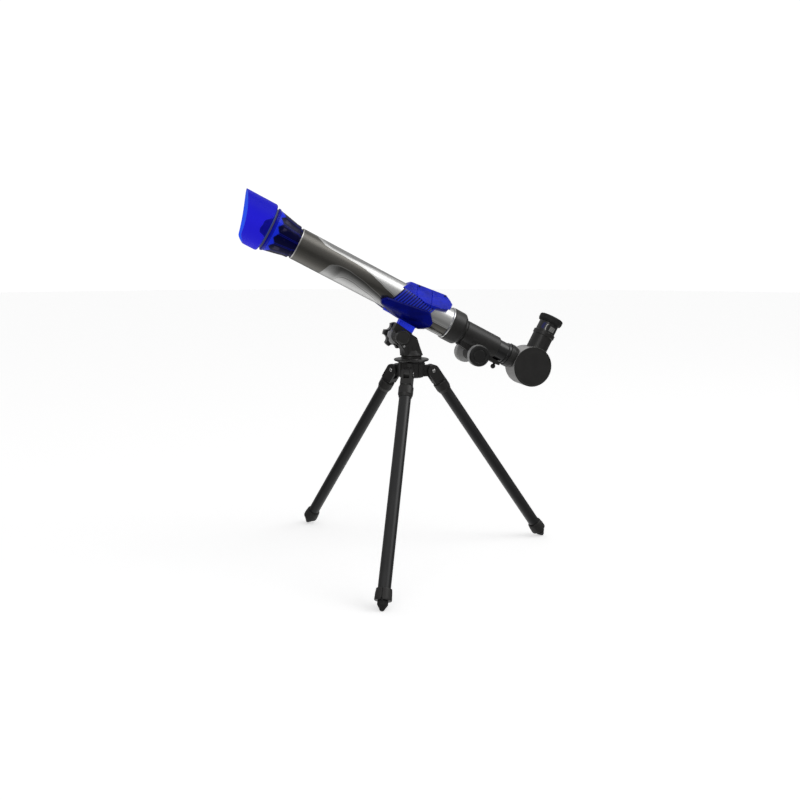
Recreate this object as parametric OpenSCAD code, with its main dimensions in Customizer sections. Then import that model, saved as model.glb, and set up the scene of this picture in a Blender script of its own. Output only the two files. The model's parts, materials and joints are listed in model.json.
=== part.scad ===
// Small refractor telescope with a star diagonal, on a folding and telescoping tripod.
// +Z is up. The origin is on the floor, on the pan axis. The objective is towards -X
// and the eyepiece towards +X. Lengths are in millimetres and angles in degrees.
//
// The optical tube has its own frame: s runs along the tube towards the eyepiece, y runs
// across it and h runs up from its axis. Each leg has its own frame too, with z running
// down the leg from its pivot.

/* [Tripod] */
// Angle of an open leg from the vertical
leg_splay = 35.1; // [30:0.1:36]
// Distance from a leg's pivot to the end of its foot
leg_len = 275.4; // [255:0.1:290]
// Outer radius of the upper leg tube
leg_tube_r = 7; // [6.5:0.1:7.5]
// Distance of the leg pivots from the pan axis
pivot_r = 26.6; // [25:0.1:28]
// Direction of the first leg, seen from above
first_leg = 4.6; // [0:0.1:30]
// Radius of the hub
hub_r = 15.6; // [15:0.1:16]

/* [Head] */
// Angle of the optical tube above the horizontal
elevation = 27.4; // [10:0.1:45]
// Distance of the tilt axis in front of the pan axis
tilt_x = -14.9; // [-16:0.1:-14]
// Height of the tilt axis above the floor
tilt_z = 267.3; // [266:0.1:269]
// Half the width of the head post
post_half = 11; // [10.5:0.1:12]
// Radius of the tilt bolt
tilt_bolt_r = 3; // [2.5:0.1:3.2]
// Radius of the star knob over its lobes
star_r = 15.8; // [14.5:0.1:16]

/* [Optical tube] */
// Outer radius of the main tube
tube_r = 18.5; // [18:0.1:19]
// Front end of the main tube
tube_front = -155; // [-175:1:-150]
// Outer radius of the dew hood
hood_r = 28; // [27:0.1:30]
// Length of the dew hood along its top
hood_len = 38.6; // [34:0.1:42]

/* [Focuser] */
// Outer radius of the focuser body
focuser_r = 14.3; // [14.2:0.1:14.8]
// Outer radius of the draw tube
draw_r = 12.4; // [12:0.1:12.5]
// Radius of the focus knobs
focus_knob_r = 12.8; // [11:0.1:14]
// Teeth on the focus pinion
pinion_teeth = 13; // [12:1:13]

/* [Diagonal and eyepiece] */
// Radius of the diagonal's drum
drum_r = 24.5; // [24:0.1:25]
// Half the length of the diagonal's drum
drum_half = 15.5; // [15:0.1:18]
// Radius of the eyepiece barrel
eyepiece_r = 12.2; // [11:0.1:12.25]

/* [Hidden] */
$fn = 72;

BLACK = "#2a2a2b";
DEEP_BLUE = "#1022a8";
BRIGHT_BLUE = "#2a2cf0";
SILVER = "#c4c4c2";
GUNMETAL = "#6d6a62";
far = 400;               // longer than any piece that is cut
run = 0.05;              // radial clearance of a running fit
gap = 0.3;               // clearance between pieces that move past each other

// Legs
foot_end_r = 3;          // radius of the rounded end of a foot
foot_wear = 0.5;         // depth of the flat on which a foot stands
leg_wall = 1;
inner_leg_r = 5;
knuckle_r = 7.2;
knuckle_half = 6.6;
tongue_half = 3.2;       // half the thickness of the hub's tongues
rivet_r = 1.6;
pivot_z = (leg_len - foot_end_r) * cos(leg_splay) + foot_end_r - foot_wear;
clamp_top = leg_len - 23.5;
clamp_end = leg_len - 11;

// Head
hub_top = 236.4;
flange_top = 241.2;
slot_half = 5.4;         // half the width of the post's slot
lug_half = 5;            // half the width of the piece that tilts in it
barrel_r = 7.2;          // radius of the post and of the bracket around the tilt bolt

// The tilt axis in the tube's frame, and the frame's origin on the tube's axis
tilt_s = 1.6;
tilt_h = -40.65;
tube_x = tilt_x - tilt_s * cos(elevation) - tilt_h * sin(elevation);
tube_z = tilt_z + tilt_s * sin(elevation) - tilt_h * cos(elevation);

// Stations along the tube
cell_rear = -157.8;
cell_flange = -188.8;
hood_rear = -191;
tube_rear = 47;
collar_front = 48.5;
collar_rear = 66.9;
body_front = 70;
body_rear = 117;
pinion_s = 93;
pinion_h = -19.2;
draw_front = 54;
draw_rear = 133.5;
rack_rear = 100;
lock_s = 125.5;
drum_s = 167.5;

// Rack and pinion
tooth_module = 0.8;
pinion_pitch_r = tooth_module * pinion_teeth / 2;
rack_pitch_h = pinion_h + pinion_pitch_r;
knob_in = 19.5;          // inner edge of a focus knob
knob_out = 29.6;         // outer face of a focus knob

module on_leg(i) {
    rotate([0, 0, first_leg + 120 * i])
        translate([pivot_r, 0, pivot_z])
            rotate([0, 180 - leg_splay, 0])
                children();
}

module on_tube() {
    translate([tube_x, 0, tube_z])
        rotate([0, elevation, 0])
            children();
}

// A solid of revolution around Z, from [radius, z] points
module turned(points) {
    rotate_extrude()
        polygon(points);
}

// A solid of revolution around the tube's axis, from [s, radius] points
module turned_s(points) {
    rotate([0, 90, 0])
        turned([for (p = points) [p[1], p[0]]]);
}

// Turns Z towards -Y, at a place in the XZ plane
module across(x, z) {
    translate([x, 0, z])
        rotate([90, 0, 0])
            children();
}

// A side outline of [x, z] points, with thickness from y = -half to y = half
module plate(half, points) {
    rotate([90, 0, 0])
        linear_extrude(height = 2 * half, center = true)
            polygon(points);
}

// The two mirrored halves of a pair
module both_sides() {
    children();
    mirror([0, 1, 0])
        children();
}

function arc(cx, cy, r, a0, a1, n) =
    [for (k = [0:n]) [cx + r * cos(a0 + (a1 - a0) * k / n), cy + r * sin(a0 + (a1 - a0) * k / n)]];

// ---------------------------------------------------------------- tripod

module tripod_hub() {
    base = pivot_z - 6.8;
    color(BLACK)
        difference() {
            union() {
                turned([
                    [0, base], [hub_r - 1.4, base], [hub_r, base + 1.4],
                    [hub_r, hub_top], [0, hub_top]
                ]);
                for (k = [0:11])
                    rotate([0, 0, first_leg + 30 * k + 15])
                        translate([hub_r - 1, -0.9, base + 2])
                            cube([1.7, 1.8, hub_top - base - 3]);
                for (i = [0:2])
                    rotate([0, 0, first_leg + 120 * i]) {
                        translate([0, -tongue_half, pivot_z - 6.8])
                            cube([pivot_r, 2 * tongue_half, 13.6]);
                        across(pivot_r, pivot_z)
                            cylinder(r = 6.8, h = 2 * tongue_half, center = true);
                    }
            }
            for (i = [0:2])
                rotate([0, 0, first_leg + 120 * i])
                    across(pivot_r, pivot_z)
                        cylinder(r = rivet_r, h = 20, center = true);
            translate([0, 0, pivot_z])
                cylinder(r = tilt_bolt_r, h = 30);
        }
}

module hub_flange() {
    color(BLACK)
        turned([
            [tilt_bolt_r, hub_top], [hub_r, hub_top], [16.6, 237], [20.2, 238.3],
            [21, 239.2], [21, 240], [20.3, 240.7], [19, 240.5], [14.6, 239.4],
            [13.4, 240.2], [12.8, flange_top], [tilt_bolt_r, flange_top]
        ]);
}

module leg_rivets() {
    color(SILVER)
        for (i = [0:2])
            rotate([0, 0, first_leg + 120 * i])
                across(pivot_r, pivot_z) {
                    cylinder(r = rivet_r, h = 2 * knuckle_half + 0.3, center = true);
                    for (side = [0, 1])
                        mirror([0, 0, side])
                            translate([0, 0, knuckle_half + 0.06])
                                turned([
                                    [0, 0], [2.3, 0], [2.3, 0.35], [1.7, 0.8], [0, 1]
                                ]);
                }
}

module pan_bolt() {
    color(SILVER)
        turned([
            [0, pivot_z], [tilt_bolt_r, pivot_z], [tilt_bolt_r, 250.3], [5.2, 250.3],
            [5.2, 252.6], [4.6, 253.2], [0, 253.2]
        ]);
}

module leg_knuckle(i) {
    color(BLACK)
        on_leg(i)
            difference() {
                union() {
                    rotate([90, 0, 0])
                        cylinder(r = knuckle_r, h = 2 * knuckle_half, center = true);
                    translate([-knuckle_r, -knuckle_half, 0])
                        cube([2 * knuckle_r, 2 * knuckle_half, 15.8]);
                    translate([0, 0, 15.4])
                        cylinder(r1 = 8, r2 = 7.4, h = 1.5);
                    cylinder(r = leg_tube_r - leg_wall, h = 28);
                }
                translate([-20, -tongue_half - gap, -20])
                    cube([40, 2 * (tongue_half + gap), 29]);
                rotate([90, 0, 0])
                    cylinder(r = rivet_r + run, h = 20, center = true);
            }
}

module leg_sleeve(i) {
    color(BLACK)
        on_leg(i)
            turned([
                [leg_tube_r, 17], [8.2, 17], [8.8, 17.8], [8.7, 27.2], [8.3, 27.6],
                [7.5, 30.8], [leg_tube_r, 30.8]
            ]);
}

module leg_tube(i) {
    color(BLACK)
        on_leg(i)
            turned([
                [leg_tube_r - leg_wall, 17], [leg_tube_r, 17],
                [leg_tube_r, clamp_end - 2], [leg_tube_r - leg_wall, clamp_end - 2]
            ]);
}

// Collar that grips the inner leg, split on its outer side
module leg_clamp(i) {
    color(BLACK)
        on_leg(i)
            difference() {
                turned([
                    [leg_tube_r, clamp_top], [8.2, clamp_top], [8.6, clamp_top + 0.8],
                    [8.8, clamp_top + 3], [9.4, clamp_end - 1.2], [9.1, clamp_end],
                    [inner_leg_r + run, clamp_end], [inner_leg_r + run, clamp_end - 2],
                    [leg_tube_r, clamp_end - 2]
                ]);
                translate([-10, -0.4, clamp_top - 1])
                    cube([3.4, 0.8, 14]);
                translate([-9.2, 0, clamp_end])
                    rotate([0, 45, 0])
                        cube([2.4, 3, 2.4], center = true);
            }
}

module inner_leg(i) {
    plug = clamp_end - 125;
    plug_r = leg_tube_r - leg_wall - run;
    color(GUNMETAL)
        on_leg(i)
            turned([
                [0, plug], [plug_r - 0.6, plug], [plug_r, plug + 0.6], [plug_r, plug + 8],
                [inner_leg_r, plug + 8.6], [inner_leg_r, clamp_end + 0.3],
                [inner_leg_r - 0.8, clamp_end + 0.3], [inner_leg_r - 0.8, plug + 9], [0, plug + 9]
            ]);
}

// Bullet-shaped fluted foot with a small flat where it stands
module foot_tip(i) {
    top = clamp_end + 0.3;
    color(BLACK)
        difference() {
            on_leg(i)
                difference() {
                    turned(concat(
                        [[0, top - 8], [inner_leg_r - 0.85, top - 8], [inner_leg_r - 0.85, top],
                         [5.3, top], [5.8, top + 0.5], [5.8, top + 4]],
                        arc(0, leg_len - foot_end_r, foot_end_r, 12, 90, 7)
                    ));
                    for (k = [0:7])
                        rotate([0, 0, 45 * k])
                            translate([6.35, 0, top + 0.9])
                                cylinder(r = 1, h = 12);
                }
            translate([-far, -far, -20])
                cube([2 * far, 2 * far, 20]);
        }
}

// ---------------------------------------------------------------- head

module head_post() {
    color(BLACK)
        difference() {
            union() {
                turned([
                    [0, flange_top + 0.2], [12.2, flange_top + 0.2], [12.2, 244],
                    [13.7, 245], [13.4, 246.2], [11.6, 251], [0, 251]
                ]);
                plate(post_half, [
                    [-11.2, 245.4], [10.8, 245.4], [3.9, 266.3], [-2.2, 270.4],
                    [tilt_x + 4, tilt_z + 6], [tilt_x, tilt_z], [-20.4, 262.6],
                    [-14.6, 255.8], [-11.6, 251]
                ]);
                across(tilt_x, tilt_z)
                    cylinder(r = barrel_r, h = 2 * post_half, center = true);
                both_sides()
                    for (x = [-7, -1.5, 4])
                        translate([x, post_half - 0.5, 246])
                            cube([1.5, 1, 10]);
            }
            translate([-far / 2, -slot_half, 257])
                cube([far, 2 * slot_half, 40]);
            translate([0, 0, 240])
                cylinder(r = tilt_bolt_r + run, h = 12);
            translate([0, 0, 250])
                cylinder(r = 5.6, h = 10);
            across(tilt_x, tilt_z)
                cylinder(r = tilt_bolt_r, h = 40, center = true);
        }
}

module post_screw() {
    color(SILVER)
        across(-12.2, 256.4)
            translate([0, 0, post_half])
                difference() {
                    turned([[0, 0], [1.7, 0], [1.5, 0.7], [0, 0.9]]);
                    translate([0, 0, 0.8])
                        cube([4, 0.5, 0.8], center = true);
                }
}

module tilt_bolt() {
    color(SILVER)
        across(tilt_x, tilt_z)
            translate([0, 0, -22])
                cylinder(r = tilt_bolt_r, h = 22 + 13.4);
}

// Round head of the tilt bolt, with a raised ring
module tilt_cap() {
    color(BLACK)
        across(tilt_x, tilt_z)
            turned([
                [0, 13.4], [tilt_bolt_r, 13.4], [tilt_bolt_r, post_half + 0.1],
                [8.2, post_half + 0.1], [8.4, post_half + 0.6], [8.4, 17.2], [7.7, 18],
                [6.9, 18], [6.5, 17.4], [0, 17.4]
            ]);
}

module tilt_washer() {
    color(SILVER)
        across(tilt_x, tilt_z)
            mirror([0, 0, 1])
                difference() {
                    turned([
                        [tilt_bolt_r + run, post_half + 0.1], [4.6, post_half + 0.1],
                        [4.6, 12.3], [11, 12.3], [11.4, 12.8], [11, 13.4],
                        [tilt_bolt_r + run, 13.4]
                    ]);
                    for (k = [0:5])
                        rotate([0, 0, 60 * k + 17])
                            translate([13.4, 0, 10])
                                cylinder(r = 3.4, h = 6);
                }
}

module star_knob() {
    color(BLACK)
        across(tilt_x, tilt_z)
            mirror([0, 0, 1])
                difference() {
                    union() {
                        translate([0, 0, 13.5])
                            difference() {
                                turned([
                                    [0, 0], [star_r - 1, 0], [star_r, 1], [star_r, 8],
                                    [star_r - 1.2, 9.2], [0, 9.2]
                                ]);
                                for (k = [0:5])
                                    rotate([0, 0, 60 * k + 13])
                                        translate([star_r + 1.2, 0, -1])
                                            cylinder(r = 5.4, h = 12);
                            }
                        cylinder(r = 7, h = 24.2);
                    }
                    cylinder(r = 8, h = 13.5);
                    cylinder(r = tilt_bolt_r + run, h = 22.3);
                }
}

// ---------------------------------------------------------------- saddle

// Points of the saddle's side outlines, as [s, h]
fairing_points = [
    [-24.5, 12], [-15.4, 22.8], [30, 28.2], [38.8, 20.4], [37, 13.5],
    [31, 11.2], [22, 8], [15.2, 4.9], [-2, 9]
];
pod_points = [
    [-42.6, -13], [-38, -7.7], [11.8, 0.2], [17.3, -0.8], [25, -10.1], [24, -15.5], [-40, -17]
];
keel_points = [
    [-28, -19.2], [22, -19.2], [22.3, -20.2], [15.7, -23.2], [-11.7, -21.8], [-28, -20.2]
];

// Half the width of the fairing's flat ridge, and the angle of the slope beside it
ridge_half = 3.8;
shoulder_half = 12;
shoulder_drop = 5;
shoulder_angle = atan2(shoulder_drop, shoulder_half - ridge_half);

// Moves the origin to the front of the fairing's ridge, with X along the ridge
module on_ridge() {
    start = fairing_points[1];
    end = fairing_points[2];
    translate([start[0], 0, start[1]])
        rotate([0, -atan2(end[1] - start[1], end[0] - start[0]), 0])
            children();
}

module tilt_bracket() {
    color(BLACK)
        on_tube()
            difference() {
                union() {
                    plate(lug_half, [
                        [-10, -27.9], [12.8, -30.8], [13, -32.4], [tilt_s + 7, tilt_h + 1.4],
                        [tilt_s, tilt_h], [tilt_s - 7, tilt_h + 1.4], [-9.9, -36.4]
                    ]);
                    across(tilt_s, tilt_h)
                        cylinder(r = barrel_r, h = 2 * lug_half, center = true);
                }
                across(tilt_s, tilt_h)
                    cylinder(r = tilt_bolt_r + run, h = 40, center = true);
            }
}

// Strip under the tube, and the ribbed foot that stands on the bracket
module saddle_cradle() {
    color(BRIGHT_BLUE)
        on_tube()
            difference() {
                union() {
                    intersection() {
                        translate([-30, 0, 0])
                            rotate([0, 90, 0])
                                cylinder(r = 21.4, h = 50);
                        translate([-30, -lug_half, -24])
                            cube([50, 2 * lug_half, 10]);
                    }
                    plate(lug_half, [[-7.8, -28.1], [12.6, -30.7], [13.6, -18], [-7.8, -18]]);
                }
                translate([-40, 0, 0])
                    rotate([0, 90, 0])
                        cylinder(r = tube_r + run, h = 70);
                both_sides()
                    for (k = [0:6])
                        translate([-6.6 + 2.8 * k, lug_half - 0.5, -32])
                            cube([0.9, 1, 10]);
            }
}

// Ribbed band on both flanks of the tube, with its ribs leaning back
module saddle_band() {
    lean = 25;
    rib_pitch = 3.2;
    color(DEEP_BLUE)
        on_tube()
            difference() {
                union() {
                    intersection() {
                        rotate([0, lean, 0])
                            translate([-25.6, -far / 2, -20])
                                cube([39.1, far, 36]);
                        translate([-50, 0, 0])
                            rotate([0, 90, 0])
                                cylinder(r = tube_r + 1.3, h = 80);
                    }
                    intersection() {
                        for (k = [0:12])
                            rotate([0, lean, 0])
                                translate([-24.2 + rib_pitch * k, -far / 2, -20])
                                    cube([1.8, far, 36]);
                        translate([-50, 0, 0])
                            rotate([0, 90, 0])
                                cylinder(r = tube_r + 2.4, h = 80);
                    }
                }
                translate([-60, 0, 0])
                    rotate([0, 90, 0])
                        cylinder(r = tube_r + run, h = 100);
                plate(30, fairing_points);
                plate(30, pod_points);
                translate([-60, -15, -30])
                    cube([100, 30, 60]);
            }
}

// Cross-section of the fairing below its ridge, in [y, height], inset by a distance
function fairing_section(inset) = [
    [inset - 21.4, -40], [inset - 21.4, -18], [inset - shoulder_half, -shoulder_drop - inset],
    [-ridge_half, -inset], [ridge_half, -inset], [shoulder_half - inset, -shoulder_drop - inset],
    [21.4 - inset, -18], [21.4 - inset, -40]
];

module saddle_fairing() {
    color(BRIGHT_BLUE)
        on_tube()
            difference() {
                intersection() {
                    plate(30, fairing_points);
                    on_ridge()
                        translate([-15, 0, 0])
                            rotate([90, 0, 90])
                                linear_extrude(height = 90)
                                    polygon(fairing_section(0));
                }
                translate([-60, 0, 0])
                    rotate([0, 90, 0])
                        cylinder(r = tube_r + run, h = 120);
                on_ridge()
                    for (x = [6.6, 26])
                        translate([x, 0, 0])
                            rotate([90, 0, 90])
                                linear_extrude(height = 0.8)
                                    difference() {
                                        translate([-30, -30])
                                            square([60, 40]);
                                        polygon(fairing_section(0.5));
                                    }
            }
}

// Side pod with a bevelled outer face and a bottom that curves in under the tube
module pod() {
    hull() {
        rotate([90, 0, 0])
            translate([0, 0, 14])
                linear_extrude(height = 6.6)
                    polygon(pod_points);
        rotate([90, 0, 0])
            translate([0, 0, 22])
                linear_extrude(height = 0.4)
                    offset(delta = -1.8)
                        polygon(pod_points);
        rotate([90, 0, 0])
            translate([0, 0, lug_half + 0.1])
                linear_extrude(height = 3)
                    polygon(keel_points);
    }
}

module pod_shell() {
    color(DEEP_BLUE)
        on_tube()
            difference() {
                children();
                translate([-60, 0, 0])
                    rotate([0, 90, 0])
                        cylinder(r = tube_r + run, h = 120);
            }
}

module pod_near() {
    pod_shell()
        pod();
}

module pod_far() {
    pod_shell()
        mirror([0, 1, 0])
            pod();
}

module saddle_screws() {
    out = 7.4;
    down = (out - ridge_half) * tan(shoulder_angle);
    ridge_end = fairing_points[2];
    chamfer_end = fairing_points[3];
    chamfer_angle = atan2(ridge_end[1] - chamfer_end[1], chamfer_end[0] - ridge_end[0]);
    color(BLACK)
        on_tube()
            both_sides() {
                on_ridge()
                    for (x = [9.6, 43.6])
                        translate([x, -out, -down])
                            rotate([shoulder_angle, 0, 0])
                                translate([0, 0, -2])
                                    cylinder(r = 1.4, h = 2.6);
                translate([ridge_end[0], -6.4, ridge_end[1]])
                    rotate([0, chamfer_angle, 0])
                        translate([8.6, 0, -2])
                            cylinder(r = 1.4, h = 2.6);
            }
}

// ---------------------------------------------------------------- optical tube

module main_tube() {
    color(GUNMETAL)
        on_tube()
            turned_s([
                [tube_front, tube_r - 1.2], [tube_front, tube_r - 0.3],
                [tube_front + 0.3, tube_r], [tube_rear, tube_r], [tube_rear, tube_r - 1.2]
            ]);
}

module lens_cell() {
    color(BRIGHT_BLUE)
        on_tube()
            turned_s([
                [cell_flange, 23.45], [cell_flange, 24.9], [cell_flange + 0.5, 25.4],
                [cell_flange + 2.4, 25.2], [cell_flange + 3, 24.3], [-173, 21.8],
                [-162.8, 19.6], [-158.4, 19.3], [cell_rear, 18.8],
                [cell_rear, 17.2], [-146, 17.2], [-146, 16],
                [-162, 16], [-175.6, 19], [-175.6, 20.3], [-183.4, 20.3], [-183.4, 23.45]
            ]);
}

// Blackened tube inside the cell, with fins that reach out to the cell's wall
module cell_baffle() {
    color(BLACK)
        on_tube() {
            turned_s([[-173, 14.6], [-173, 15.6], [-140, 15.6], [-140, 14.6]]);
            for (k = [0:9])
                rotate([36 * k + 18, 0, 0])
                    plate(0.9, [[-173, 15.2], [-173, 18.1], [-163.4, 16], [-163.4, 15.2]]);
        }
}

module objective_lens() {
    edge = 20.2;
    front_r = 100;
    rear_r = 220;
    front_s = -179.4;
    rear_s = -176.4;
    steps = 10;
    color("#bcd6ee", 0.5)
        on_tube()
            turned_s(concat(
                [for (k = [0:steps])
                    [front_s - sqrt(pow(front_r, 2) - pow(edge * k / steps, 2))
                        + sqrt(pow(front_r, 2) - pow(edge, 2)), edge * k / steps]],
                [for (k = [steps:-1:0])
                    [rear_s + sqrt(pow(rear_r, 2) - pow(edge * k / steps, 2))
                        - sqrt(pow(rear_r, 2) - pow(edge, 2)), edge * k / steps]]
            ));
}

module lens_retainer() {
    color(BLACK)
        on_tube()
            turned_s([
                [-182.9, 18.6], [-182.9, 20.2], [-179.9, 20.2], [-179.9, 18.9]
            ]);
}

// Hood with a long top edge, rounded shoulder, and a spigot that plugs into the cell
module dew_hood() {
    front = hood_rear - hood_len;
    wall = 1.5;
    bottom_front = hood_rear - 16.5;
    slant = 14.6;        // set-back of the front edge from its top to the lower corner
    edge_points = [for (k = [0:12])
        [front + slant * (k / 12) * (1.55 - 0.55 * k / 12), hood_r - 4 * k]];
    thumb = 27.4;
    color(BRIGHT_BLUE, 0.8)
        on_tube() {
            difference() {
                turned_s(concat(
                    [[-240, hood_r]],
                    arc(hood_rear - 2.6, hood_r - 2.6, 2.6, 90, 0, 6),
                    [[hood_rear, 23.4], [-184, 23.4], [-184, 22.2],
                     [hood_rear - wall, 22.2], [hood_rear - wall, hood_r - 3],
                     [hood_rear - 3, hood_r - wall], [-240, hood_r - wall]]
                ));
                plate(40, concat(
                    [[-260, 40], [front, 40]],
                    edge_points,
                    [[bottom_front - 6, -22.6], [bottom_front - 2.6, -25.8],
                     [bottom_front, -hood_r], [bottom_front, -40], [-260, -40]]
                ));
            }
            // Thickened thumb patches with three lobes, inside both flanks
            intersection() {
                turned_s([
                    [-206, 25.6], [-206, thumb - 0.9], [hood_rear - 1.5, thumb - 0.9],
                    [hood_rear - 1.5, 25.6]
                ]);
                rotate([90, 0, 0])
                    linear_extrude(height = 80, center = true)
                        union() {
                            for (p = [[-6, 4.4], [0, 5.2], [6, 4.4]])
                                translate([hood_rear - 4.6, p[0] - 3])
                                    circle(r = p[1]);
                        }
            }
        }
}

module trim_ring() {
    color(SILVER)
        on_tube()
            turned_s([
                [46, tube_r + run], [46, 19.3], [46.4, 19.8], [47.6, 19.8],
                [collar_front, 19.3], [collar_front, tube_r + run]
            ]);
}

// Black collar that closes the tube and carries the focuser
module rear_collar() {
    color(BLACK)
        on_tube()
            difference() {
                turned_s(concat(
                    [[36, 16], [36, 17.25], [collar_front, 17.25], [collar_front, 19.7],
                     [collar_front + 0.4, 20], [61.4, 20]],
                    arc(61.8, 15.6, 4.4, 88, 20, 6),
                    [[collar_rear, 17], [collar_rear, 13.4], [63.4, 13.4], [62, 16]]
                ));
                translate([60, -4, -16.6])
                    cube([10, 8, 8]);
            }
}

// Focuser body with its keel, pinion housing and lock screw tongue
module focuser_body() {
    color(BLACK)
        on_tube()
            difference() {
                union() {
                    turned_s([
                        [63.6, 0], [63.6, 13.3], [body_front, 13.3], [body_front, 13.9],
                        [body_front + 0.5, focuser_r], [body_rear - 1, focuser_r],
                        [body_rear, focuser_r - 0.6], [body_rear, 0]
                    ]);
                    plate(7.4, [
                        [71, -10], [71, -16.9], [84, -18.6], [102, -18.6], [112, -16.9],
                        [129.4, -16.9], [129.4, -12.8], [body_rear, -12.8], [body_rear, -10]
                    ]);
                    across(pinion_s, pinion_h)
                        cylinder(r = 8, h = 17.6, center = true);
                    translate([64, -3.8, -16.4])
                        cube([8, 7.6, 6]);
                }
                translate([50, 0, 0])
                    rotate([0, 90, 0])
                        cylinder(r = draw_r + run, h = 80);
                translate([50, -3, -15.2])
                    cube([80, 6, 6]);
                across(pinion_s, pinion_h)
                    cylinder(r = pinion_pitch_r + 1.2, h = 7, center = true);
                across(pinion_s, pinion_h)
                    cylinder(r = 1.5 + run, h = 40, center = true);
                translate([lock_s, 0, -20])
                    cylinder(r = 1.5 + run, h = 10);
            }
}

module draw_tube() {
    color(BLACK)
        on_tube()
            difference() {
                turned_s([
                    [draw_front, 10.65], [draw_front, draw_r], [130, draw_r], [130.4, 13.2],
                    [131, 13.5], [draw_rear, 13.5], [draw_rear, 10.65]
                ]);
                translate([129.9, -8.2, -20])
                    cube([5, 16.4, 7.5]);
            }
}

// Toothed strip under the draw tube
module focus_rack() {
    pitch = PI * tooth_module;
    first = pinion_s - pitch * 15;
    color(BLACK)
        on_tube()
            difference() {
                translate([draw_front, -2.6, rack_pitch_h - 0.8])
                    cube([rack_rear - draw_front, 5.2, 4]);
                for (k = [0:22])
                    if (first + k * pitch > draw_front && first + k * pitch < rack_rear - 1)
                        translate([first + k * pitch, 0, rack_pitch_h])
                            plate(5, [[-0.98, -1], [0.98, -1], [0.38, 1], [-0.38, 1]]);
                translate([50, 0, 0])
                    rotate([0, 90, 0])
                        cylinder(r = draw_r, h = 80);
            }
}

module pinion_shaft() {
    tooth_step = 360 / pinion_teeth;
    color(SILVER)
        on_tube()
            across(pinion_s, pinion_h) {
                cylinder(r = 1.5, h = 54, center = true);
                intersection() {
                    rotate([0, 0, 90])
                        linear_extrude(height = 6, center = true) {
                            circle(r = pinion_pitch_r - 1);
                            for (k = [0:pinion_teeth - 1])
                                rotate([0, 0, tooth_step * k])
                                    polygon([
                                        [3.4, 0.82], [pinion_pitch_r, 0.46],
                                        [pinion_pitch_r + 0.75, 0.2],
                                        [pinion_pitch_r + 0.75, -0.2],
                                        [pinion_pitch_r, -0.46], [3.4, -0.82]
                                    ]);
                        }
                    cylinder(r = pinion_pitch_r + 0.75, h = 10, center = true);
                }
            }
}

// Bright skirts of the two focus knobs
module knob_skirts() {
    color(SILVER)
        on_tube()
            both_sides()
                across(pinion_s, pinion_h)
                    turned([
                        [1.5, knob_in], [focus_knob_r - 0.6, knob_in],
                        [focus_knob_r, knob_in + 0.6], [focus_knob_r, 26.8], [1.5, 26.8]
                    ]);
}

// Black faces of the two focus knobs, with a recessed ring
module knob_faces() {
    ring = 0.6 * focus_knob_r;
    color(BLACK)
        on_tube()
            both_sides()
                across(pinion_s, pinion_h)
                    turned([
                        [0, 27], [focus_knob_r - 0.1, 26.8], [focus_knob_r - 0.1, 28.2],
                        [focus_knob_r - 1.3, knob_out], [ring + 0.9, knob_out],
                        [ring + 0.5, knob_out - 0.8], [ring - 0.3, knob_out - 0.8],
                        [ring - 0.7, knob_out - 0.2], [0, knob_out - 0.2]
                    ]);
}

module lock_screw() {
    color(BLACK)
        on_tube()
            translate([lock_s, 0, 0]) {
                translate([0, 0, -18.8])
                    cylinder(r = 1.5, h = 3.7);
                translate([0, 0, -20.8])
                    sphere(r = 3);
            }
}

// ---------------------------------------------------------------- diagonal and eyepiece

// Faceted ring around the diagonal's nose
module end_ring() {
    color(BLACK)
        on_tube()
            difference() {
                union() {
                    translate([134, 0, 0])
                        rotate([0, 90, 0])
                            cylinder(r = 14.5, h = 6, $fn = 12);
                    translate([140, 0, 0])
                        rotate([0, 90, 0])
                            cylinder(r1 = 14.3, r2 = 12.4, h = 6);
                }
                translate([130, 0, 0])
                    rotate([0, 90, 0])
                        cylinder(r = 10.6, h = 30);
                across(drum_s, 0)
                    cylinder(r = drum_r + 0.05, h = 60, center = true);
            }
}

module diagonal_housing() {
    side = drum_half - 1.6;
    color(SILVER)
        on_tube()
            difference() {
                union() {
                    across(drum_s, 0)
                        cylinder(r = drum_r, h = 2 * side, center = true);
                    translate([114, 0, 0])
                        rotate([0, 90, 0])
                            cylinder(r = 10.6, h = 36);
                }
                across(drum_s, 0)
                    cylinder(r = drum_r - 1.6, h = 60, center = true);
                translate([110, 0, 0])
                    rotate([0, 90, 0])
                        cylinder(r = 9.6, h = 50);
                translate([drum_s, 0, 10])
                    cylinder(r = 11, h = 20);
            }
}

module diagonal_caps() {
    side = drum_half - 1.6;
    color(BLACK)
        on_tube()
            both_sides()
                across(drum_s, 0)
                    turned([
                        [0, side - 2], [drum_r - 1.65, side - 2], [drum_r - 1.65, side],
                        [drum_r, side], [drum_r, drum_half - 0.5], [drum_r - 0.5, drum_half],
                        [drum_r - 1.6, drum_half], [drum_r - 2, drum_half - 0.35],
                        [0, drum_half - 0.35]
                    ]);
}

module diagonal_mirror() {
    half_w = drum_half - 3.6;
    color("#dfe6ea")
        on_tube()
            translate([drum_s, 0, 0])
                rotate([0, 45, 0])
                    translate([-1, -half_w, -15])
                        cube([2.4, 2 * half_w, 30]);
}

module eyepiece_holder() {
    color(BLACK)
        on_tube()
            difference() {
                translate([drum_s, 0, 0])
                    turned([
                        [10.8, 18], [12.8, 18], [12.8, 40.8], [13.7, 41.4], [13.7, 45.6],
                        [13.3, 46], [eyepiece_r + run, 46], [eyepiece_r + run, 25], [10.8, 25]
                    ]);
                across(drum_s, 0)
                    cylinder(r = drum_r + 0.05, h = 60, center = true);
            }
}

module eyepiece_barrel() {
    color(BLACK)
        on_tube()
            translate([drum_s, 0, 0])
                turned([
                    [10.9, 25.4], [eyepiece_r, 25.4], [eyepiece_r, 58.4], [10.9, 58.4]
                ]);
}

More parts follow.
